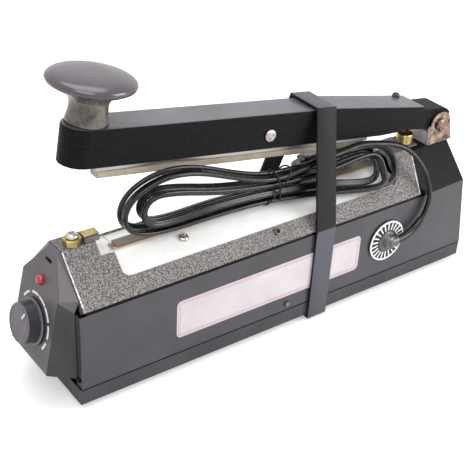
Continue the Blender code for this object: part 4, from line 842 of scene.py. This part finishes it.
screwHead = makeScrewHead(headValues)
for stem, (seat, axis, radius, height, turns) in screwValues.items():
    sideNames = ("_near", "_far") if len(turns) == 2 else ("",)
    for flip, sideName, turn in zip((1, -1), sideNames, turns):
        farSeat, farAxis = ((x, y * flip, z) for x, y, z in (seat, axis))
        placeScrew(stem + sideName, farSeat, farAxis, radius, height, turn)
hand(seatedHead("armTailScrew", **tailScrewValues), "capShade", "arm")
bpy.data.meshes.remove(screwHead.data)
print("screws placed:", sum(len(row[-1]) for row in screwValues.values()) + 1)


# handle: a smooth mushroom on a drawn-in neck
handleValues = {
    "seat": (-0.11282, 0, 0.16055),
    "neck": 0.016,
    "profile": (
        (0.0112, 0), (0.0118, 0.0008), (0.0116, 0.0022), (0.0108, 0.0052), (0.0104, 0.009),
        (0.0107, 0.012), (0.0125, 0.015), (0.0166, 0.0176), (0.0206, 0.0193), (0.0231, 0.0207),
        (0.024, 0.0222), (0.0237, 0.0235), (0.0226, 0.0246), (0.0206, 0.0256), (0.0176, 0.0263),
        (0.0136, 0.0269), (0.0092, 0.0272), (0.0046, 0.0273), (0.0012, 0.0273),
    ),
}
handle = turnedPiece("handleKnob", handleValues["profile"])
settle(handle, facing(handleValues["seat"], armUp))
hand(handle, "glossKnob", "arm", ("handle_knob",), smooth=60)
neckTop = Vector(handleValues["seat"]) + armUp * handleValues["neck"]
# the neck's mottled dark and pale patches are painted reflections
secondFinish(handle, "knobNeck", lambda centre, normal: (centre - neckTop).dot(armUp) < 0)


# timer: a skirted knob with a pale face and pointer, inside a broken white scale
timerValues = {
    # radius and height: a skirt, then the grip up to its sunken face
    "profile": (
        (0.0136, 0.0004), (0.014, 0.0008), (0.014, 0.0015), (0.0136, 0.0019), (0.0126, 0.0021),
        (0.0123, 0.0026), (0.012, 0.0088), (0.0116, 0.0094), (0.011, 0.0096), (0.0105, 0.0096),
        (0.0102, 0.0093), (0.002, 0.0092),
    ),
    "steps": 96,
    "skirtRadius": 0.0133,  # what is wider and below the skirt's top is skirt, pale where it faces out
    "skirtTop": 0.0022,
    "faceBottom": 0.0087,  # what is above is the pale face
    "fluteEvery": 4,
    "fluteRadius": 0.0113,
    "fluteTop": 0.0095,
    "flutePinch": 0.972,
    "pointer": (0.0011, 0.0056, 0.0004),
    "pointerPlace": (0, 0.0078, 0.0094),
    "pointerEdge": 0.00015,
    "pointerTurn": 31,
    "scaleRadius": 0.0166,
    "scaleWidth": 0.0014,
    "scaleThickness": 0.0002,
    "lift": 0.00015,
    # each arc is (start, end) in degrees, clockwise from the top as the user sees the dial
    "arcs": ((-33, -6), (2, 26), (32, 58), (63, 92), (97, 124), (129, 150)),
    "arcStep": 4,
}
dialUp = (Vector((0, 0, 1)) - dialNormal * dialNormal.z).normalized()
dialRight = dialUp.cross(dialNormal)


def dialMatrix(lift=0):
    # local x is the user's right, y is up the face, z is out of it
    turn = Matrix((dialRight, dialUp, dialNormal)).transposed()
    return Matrix.Translation(dialCentre + dialNormal * lift) @ turn.to_4x4()


def makeTimerKnob(values):
    piece = turnedPiece("timerKnob", values["profile"], values["steps"])
    mesh = piece.data
    dress(piece, "dialSide", "dialFace")
    for face in mesh.polygons:
        rim = max(mesh.vertices[vert].co.xy.length for vert in face.vertices)
        onSkirt = rim > values["skirtRadius"] and face.center.z < values["skirtTop"]
        if face.center.z > values["faceBottom"] or (onSkirt and abs(face.normal.z) > 0.5):
            face.material_index = 1
    pick(piece)
    for vert in mesh.vertices:
        # every fourth row of the grip is drawn in
        turn = round(math.atan2(vert.co.y, vert.co.x) / math.tau * values["steps"])
        onSide = vert.co.xy.length > values["fluteRadius"] and turn % values["fluteEvery"] == 0
        vert.select = onSide and values["skirtTop"] < vert.co.z < values["fluteTop"]
    bpy.ops.object.mode_set(mode="EDIT")
    bpy.ops.mesh.select_mode(type="VERT")
    pinch = values["flutePinch"]
    bpy.ops.transform.resize(value=(pinch, pinch, 1), center_override=(0, 0, 0))
    endEdit()
    return settle(piece, dialMatrix())


def makePointer(values):
    piece = bevelled(slab("dialPointer", values["pointer"], values["pointerPlace"]), values["pointerEdge"])
    return settle(piece, dialMatrix() @ Matrix.Rotation(math.radians(-values["pointerTurn"]), 4, "Z"))


def makeArc(name, values, start, end):
    # a short bar spun round the dial's axis, clockwise from the top
    piece = flatPiece(name, values["scaleThickness"], values["scaleWidth"])
    outwards = Matrix.Translation((0, values["scaleRadius"], 0)) @ Matrix.Rotation(math.radians(90), 4, "Y")
    settle(piece, Matrix.Rotation(math.radians(-start), 4, "Z") @ outwards)
    startEdit(piece)
    steps = max(3, round((end - start) / values["arcStep"]))
    bpy.ops.mesh.spin(steps=steps, angle=-math.radians(end - start), center=(0, 0, 0), axis=(0, 0, 1))
    bpy.ops.mesh.select_all(action="SELECT")
    bpy.ops.mesh.remove_doubles(threshold=weldDistance)
    bpy.ops.mesh.fill_holes(sides=0)
    endEdit()
    return cleanNormals(piece)


hand(makeTimerKnob(timerValues), None, "dial", ("timer_knob",))
hand(makePointer(timerValues), "markWhite", "dial")
arcs = [makeArc("scaleArc%d" % index, timerValues, *arc) for index, arc in enumerate(timerValues["arcs"])]
scale = settle(joined("dialScale", arcs), dialMatrix(timerValues["lift"]))
hand(scale, "markWhite", "base")
print("timer made, arcs on its scale:", len(arcs))


# lamp: a domed red lens in a thin collar
lampValues = {
    "lens": (
        (0.0026, -0.0002), (0.0028, 0.0003), (0.0029, 0.0009), (0.0027, 0.0017), (0.0022, 0.0024),
        (0.0015, 0.0028), (0.0006, 0.003),
    ),
    "bezel": (
        (0.0032, 0.00005), (0.0034, 0.0002), (0.0034, 0.0004), (0.0031, 0.0005), (0.003, 0.0004),
        (0.003, 0.0001),
    ),
    "steps": 32,
}
for key, name, replaced in (("lens", "lampLens", ("indicator_lamp",)), ("bezel", "lampBezel", ())):
    piece = turnedPiece(name, lampValues[key], lampValues["steps"], ring=key == "bezel")
    hand(settle(piece, facing(lampCentre, lampNormal)), "lens", "base", replaced, smooth=60)


# gland: a dark wheel with a pale rim line and spokes, and a grey hub that the cord leaves sideways
glandValues = {
    "seat": (0.087, -0.031, 0.04),
    "disc": ((0.0143, 0.0001), (0.0145, 0.0004), (0.0145, 0.001), (0.0141, 0.0014), (0.006, 0.0015)),
    "rim": (
        (0.0132, 0.0011), (0.0132, 0.0016), (0.0134, 0.0018), (0.0142, 0.0018), (0.0144, 0.0016),
        (0.0144, 0.0011),
    ),
    "steps": 72,
    "spokes": 22,
    "spoke": (0.0009, 0.0054, 0.0004),
    "spokePlace": (0, 0.0107, 0.0016),
    "hub": (
        (0.007, 0.0012), (0.007, 0.0019), (0.0062, 0.0023), (0.0052, 0.0026), (0.0049, 0.0034),
        (0.0048, 0.0052), (0.0044, 0.006), (0.0036, 0.0065), (0.0024, 0.0066), (0.002, 0.0063),
        (0.0008, 0.0062),
    ),
    "hubSteps": 40,
    "sleeve": (0.0085, 0.0058, 0.0056),
    "sleevePlace": (0.09, -0.0352, 0.04),
    "sleeveEdge": 0.0014,
}


def makeGland(values):
    matrix = facing(values["seat"], (0, -1, 0))
    disc = turnedPiece("glandDisc", values["disc"], values["steps"])
    hand(settle(disc, matrix), "glandRubber", "base", ("cord_gland",))
    marks = [turnedPiece("glandRim", values["rim"], values["steps"], ring=True)]
    for index in range(values["spokes"]):
        spoke = slab("glandSpoke%d" % index, values["spoke"], values["spokePlace"])
        marks.append(settle(spoke, Matrix.Rotation(math.tau * index / values["spokes"], 4, "Z")))
    hand(settle(joined("glandRimAndSpokes", marks), matrix), "markWhite", "base")
    hub = turnedPiece("glandHub", values["hub"], values["hubSteps"])
    hand(settle(hub, matrix), "hubRubber", "base")
    sleeve = bevelled(slab("glandSleeve", values["sleeve"], values["sleevePlace"]), values["sleeveEdge"], 3)
    hand(sleeve, "hubRubber", "base")


makeGland(glandValues)
print("gland made")


# plug: a moulded body with finger grips
plugValues = {
    "lean": math.radians(-20.6),
    "length": 0.03,
    "width": 0.024,
    "thickness": 0.013,
    "edge": (0.003, 4, 50),  # width, segments and the least angle that is eased
    "cuts": 5,
    "pinchRun": 0.7,  # the share of the length that narrows towards the cord
    "pinch": (0.42, 0.22),
    "ribs": 4,
    "rib": (0.0011, 0.01, 0.0009),
    "firstRib": 0.0085,
    "ribStep": 0.0026,
    "ribSink": 0.0004,
    "ribEdge": 0.0003,
}


def makePlug(values):
    length, width, thickness = values["length"], values["width"], values["thickness"]
    body = slab("plugBody", (length, width, thickness), (length / 2, 0, 0))
    startEdit(body)
    bpy.ops.mesh.subdivide(number_cuts=values["cuts"])
    endEdit()
    across, through = values["pinch"]
    for vert in body.data.vertices:
        share = ease(1 - vert.co.x / length / values["pinchRun"])
        vert.co.y *= 1 - across * share
        vert.co.z *= 1 - through * share
    bevelled(body, *values["edge"])
    grips = [body]
    for index in range(values["ribs"]):
        out = thickness / 2 - values["ribSink"] * (values["ribs"] - index)
        for side in (-1, 1):
            place = (values["firstRib"] + index * values["ribStep"], 0, side * out)
            grips.append(bevelled(slab("plugRib", values["rib"], place), values["ribEdge"]))
    matrix = Matrix.Translation(plugSeat + origin) @ Matrix.Rotation(values["lean"], 4, "X")
    return settle(joined("plugBody", grips), matrix)


hand(makePlug(plugValues), "jacket", "base", ("plug_body",), smooth=40)


# return spring: a torsion coil round the hinge's bush, one leg along the floor and one under the arm
springValues = {
    "centre": (0.1455, 0, 0.1007),
    "coil": 0.0051,
    "wire": 0.0007,
    "turns": 3.5,
    "steps": 28,  # a turn
    "pitch": 0.0021,
    "sides": 10,
    "legs": (0.005, 0.01),
}


def makeSpring(values):
    centre = Vector(values["centre"])
    count = round(values["turns"] * values["steps"])
    coil = []
    for step in range(count + 1):
        share = step / count
        angle = math.radians(270) - math.tau * values["turns"] * share
        along = values["turns"] * values["pitch"] * (share - 0.5)
        around = Vector((math.cos(angle), 0, math.sin(angle))) * values["coil"]
        coil.append(centre + around + Vector((0, along, 0)))
    floorLeg, webLeg = (Vector((-length, 0, 0)) for length in values["legs"])
    points = [coil[0] + floorLeg, coil[0] + floorLeg / 2, *coil, coil[-1] + webLeg / 2, coil[-1] + webLeg]
    runs, normals = carriedNormals(points, 0, Vector((0, 0, 1)))
    rings = []
    for point, run, normal in zip(points, runs, normals):
        rings.append(ringRound(point, normal, run.cross(normal), values["wire"], values["sides"]))
    return tube("returnSpring", rings)


spring = makeSpring(springValues)
hand(spring, "steel", bodyOf["return_spring"], ("return_spring",), smooth=60)


# strap: one closed band of webbing that leans back as it rises and follows the arm
strapValues = {"softening": (0.0004, 2), "lowTop": 0.067}
strap = softCopy("transport_strap", *strapValues["softening"])
dress(strap, "strapWebbing")
# its upper face and the foot of its flanks take a greyer colour: painted sheen where they catch the light
secondFinish(
    strap,
    "strapWebbingLow",
    lambda centre, normal: normal.z > 0.8 or abs(normal.y) > 0.9 and centre.z < strapValues["lowTop"],
)
pick(strap)
bpy.ops.object.shade_smooth_by_angle(angle=math.radians(35))
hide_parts("transport_strap")
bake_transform(strap)
print("strap laid")


# blank side plate: white, with a thin double border, half under the strap
plateValues = {
    "middle": (-0.00555, -0.03105, 0.0382),
    "size": (0.1395, 0.0256),
    "corner": 0.0032,
    "cornerSteps": 6,
    "thickness": 0.0002,
    "borders": (0.0009, 0.0004, 0.0007, 0.0004),  # from the rim inwards, every second one coloured
}


def makeSidePlate(values):
    (width, height), corner = values["size"], values["corner"]
    piece = flatPiece("sidePlate", width, height)
    startEdit(piece)
    bpy.ops.mesh.bevel(offset=corner, segments=values["cornerSteps"], affect="VERTICES")
    bpy.ops.mesh.select_all(action="SELECT")
    bpy.ops.mesh.extrude_region_move(TRANSFORM_OT_translate={"value": (0, 0, values["thickness"])})
    for border in values["borders"]:
        bpy.ops.mesh.inset(thickness=border, depth=0)
    endEdit()
    dress(piece, "plateWhite", "platePink")
    outerStart, outerEnd, innerStart, innerEnd = np.cumsum(values["borders"])
    for face in piece.data.polygons:
        fromSide = width / 2 - abs(face.center.x)
        fromTop = height / 2 - abs(face.center.y)
        inwards = min(fromSide, fromTop)
        if max(fromSide, fromTop) < corner:
            inwards = corner - math.hypot(corner - fromSide, corner - fromTop)
        if face.normal.z > 0.5 and (outerStart < inwards < outerEnd or innerStart < inwards < innerEnd):
            face.material_index = 1
    settle(piece, Matrix.Translation(values["middle"]) @ Matrix.Rotation(math.radians(90), 4, "X"))
    return cleanNormals(piece)


hand(makeSidePlate(plateValues), None, "base")


# trim: cut edges of the cover, up the roof's slopes at the front and the rear, near-white: bare edges with a
# painted highlight
trimValues = {
    "width": 0.0009,
    "thickness": 0.0005,
    "edge": 0.00015,
    "roofFoot": (0.031, 0.062),  # the roof's half width and height where its slope begins
    # each edge is (x, distance from the middle) at its foot and at its top
    "front": ((-0.13375, 0.0306), (-0.13375, 0.0072)),
    "rear": ((0.1138, 0.0306), (0.1204, 0.0112)),
}


def makeTrim(name, side, foot, top, values):
    footOut, footHeight = values["roofFoot"]

    def roofPoint(x, out):
        return Vector((x, side * out, footHeight + origin.z + (footOut - out) * math.tan(roofAngle)))

    start, end = roofPoint(*foot), roofPoint(*top)
    outwards = Vector((0, side * math.sin(roofAngle), math.cos(roofAngle)))
    along = (end - start).normalized()
    bar = bevelled(slab(name, (values["width"], (end - start).length, values["thickness"])), values["edge"])
    turn = Matrix((along.cross(outwards), along, outwards)).transposed().to_4x4()
    return settle(bar, Matrix.Translation((start + end) / 2) @ turn)


for side, sideName in bothSides:
    for edge in ("front", "rear"):
        trim = makeTrim(edge + "Trim" + sideName, side, *trimValues[edge], trimValues)
        hand(trim, "cutEdge", "base")
print("plate and trims fitted")


# a dark strip above the tray's rim, on both sides: painted shadow in the gap between the side housing and
# the tray
gapShadowValues = {
    "size": (0.298, 0.0003, 0.0005),
    "middle": 0.0118,
    "side": 0.03112,
    "height": 0.0143,
    "edge": 0.0001,
}
for side, sideName in bothSides:
    place = (gapShadowValues["middle"], side * gapShadowValues["side"], gapShadowValues["height"])
    seam = bevelled(slab("traySeam" + sideName, gapShadowValues["size"], place), gapShadowValues["edge"])
    hand(seam, "seamDark", "base")


# what stays as the CAD node gets its finish
kept = {
    "heating_strip": "steel",
    "timer_shaft": "steel",
    "timer_pot": "steel",
    "hinge_bush": "brass",
    "hinge_pin": "pinPlate",
    "handle_screw": "plated",
}
for node, finishName in kept.items():
    dress(frame["nodes"][node], finishName)
print("CAD nodes kept:", len(kept))


# floor, backdrop and lights
studioValues = {
    "floor": 4,
    "floorColor": (0.8, 0.8, 0.8, 1),
    "floorGlow": 0.35,
    "world": 0.72,
    "lamps": (
        # name, place, aim, size, watts
        ("keyLamp", (-0.7, -0.8, 1.35), (0, 0, 0.06), 1, 8.5),
        ("fillLamp", (0.6, -0.62, 0.4), (0.14, 0, 0.05), 0.5, 4.6),
        ("topLamp", (0.1, 0.3, 1.6), (0, 0, 0.08), 1.2, 10),
    ),
}


def emptyTree(owner):
    owner.use_nodes = True
    owner.node_tree.nodes.clear()
    return owner.node_tree


def makeFloor(values):
    floor = flatPiece("paleFloor", values["floor"], values["floor"])
    finish = bpy.data.materials.new("paleFloor")
    tree = emptyTree(finish)
    # it glows a little, but only as the camera sees it
    seen = addNode(tree, "LightPath").outputs["Is Camera Ray"]
    strength = addNode(tree, "Math", {0: seen, 1: values["floorGlow"]}, operation="MULTIPLY")
    glow = addNode(tree, "Emission", {"Strength": strength.outputs[0]})
    matt = addNode(tree, "BsdfDiffuse", {"Color": values["floorColor"]})
    both = addNode(tree, "AddShader", {0: matt.outputs[0], 1: glow.outputs[0]})
    addNode(tree, "OutputMaterial", {"Surface": both.outputs[0]})
    floor.data.materials.append(finish)


def makeWorld(strength):
    world = bpy.data.worlds.new("studio")
    bpy.context.scene.world = world
    tree = emptyTree(world)
    # white where it is seen, straight or in a shine, and dimmer as a light
    rays = addNode(tree, "LightPath").outputs
    seen = rays["Is Camera Ray"]
    for kind in ("Is Glossy Ray", "Is Transmission Ray"):
        seen = addNode(tree, "Math", {0: seen, 1: rays[kind]}, operation="MAXIMUM").outputs[0]
    level = addNode(tree, "MapRange", {"Value": seen, "To Min": strength, "To Max": 1})
    sky = addNode(tree, "Background", {"Color": (1, 1, 1, 1), "Strength": level.outputs["Result"]})
    addNode(tree, "OutputWorld", {"Surface": sky.outputs[0]})


def makeLamp(name, place, aim, size, watts):
    data = bpy.data.lights.new(name, "AREA")
    data.shape = "SQUARE"
    data.size = size
    data.energy = watts
    lamp = placed(name, data)
    towards = Vector(aim) - Vector(place)
    lamp.matrix_world = Matrix.Translation(place) @ towards.to_track_quat("-Z", "Y").to_matrix().to_4x4()


makeFloor(studioValues)
makeWorld(studioValues["world"])
for lamp in studioValues["lamps"]:
    makeLamp(*lamp)
bpy.context.scene.view_settings.view_transform = "Standard"
print("studio lit")
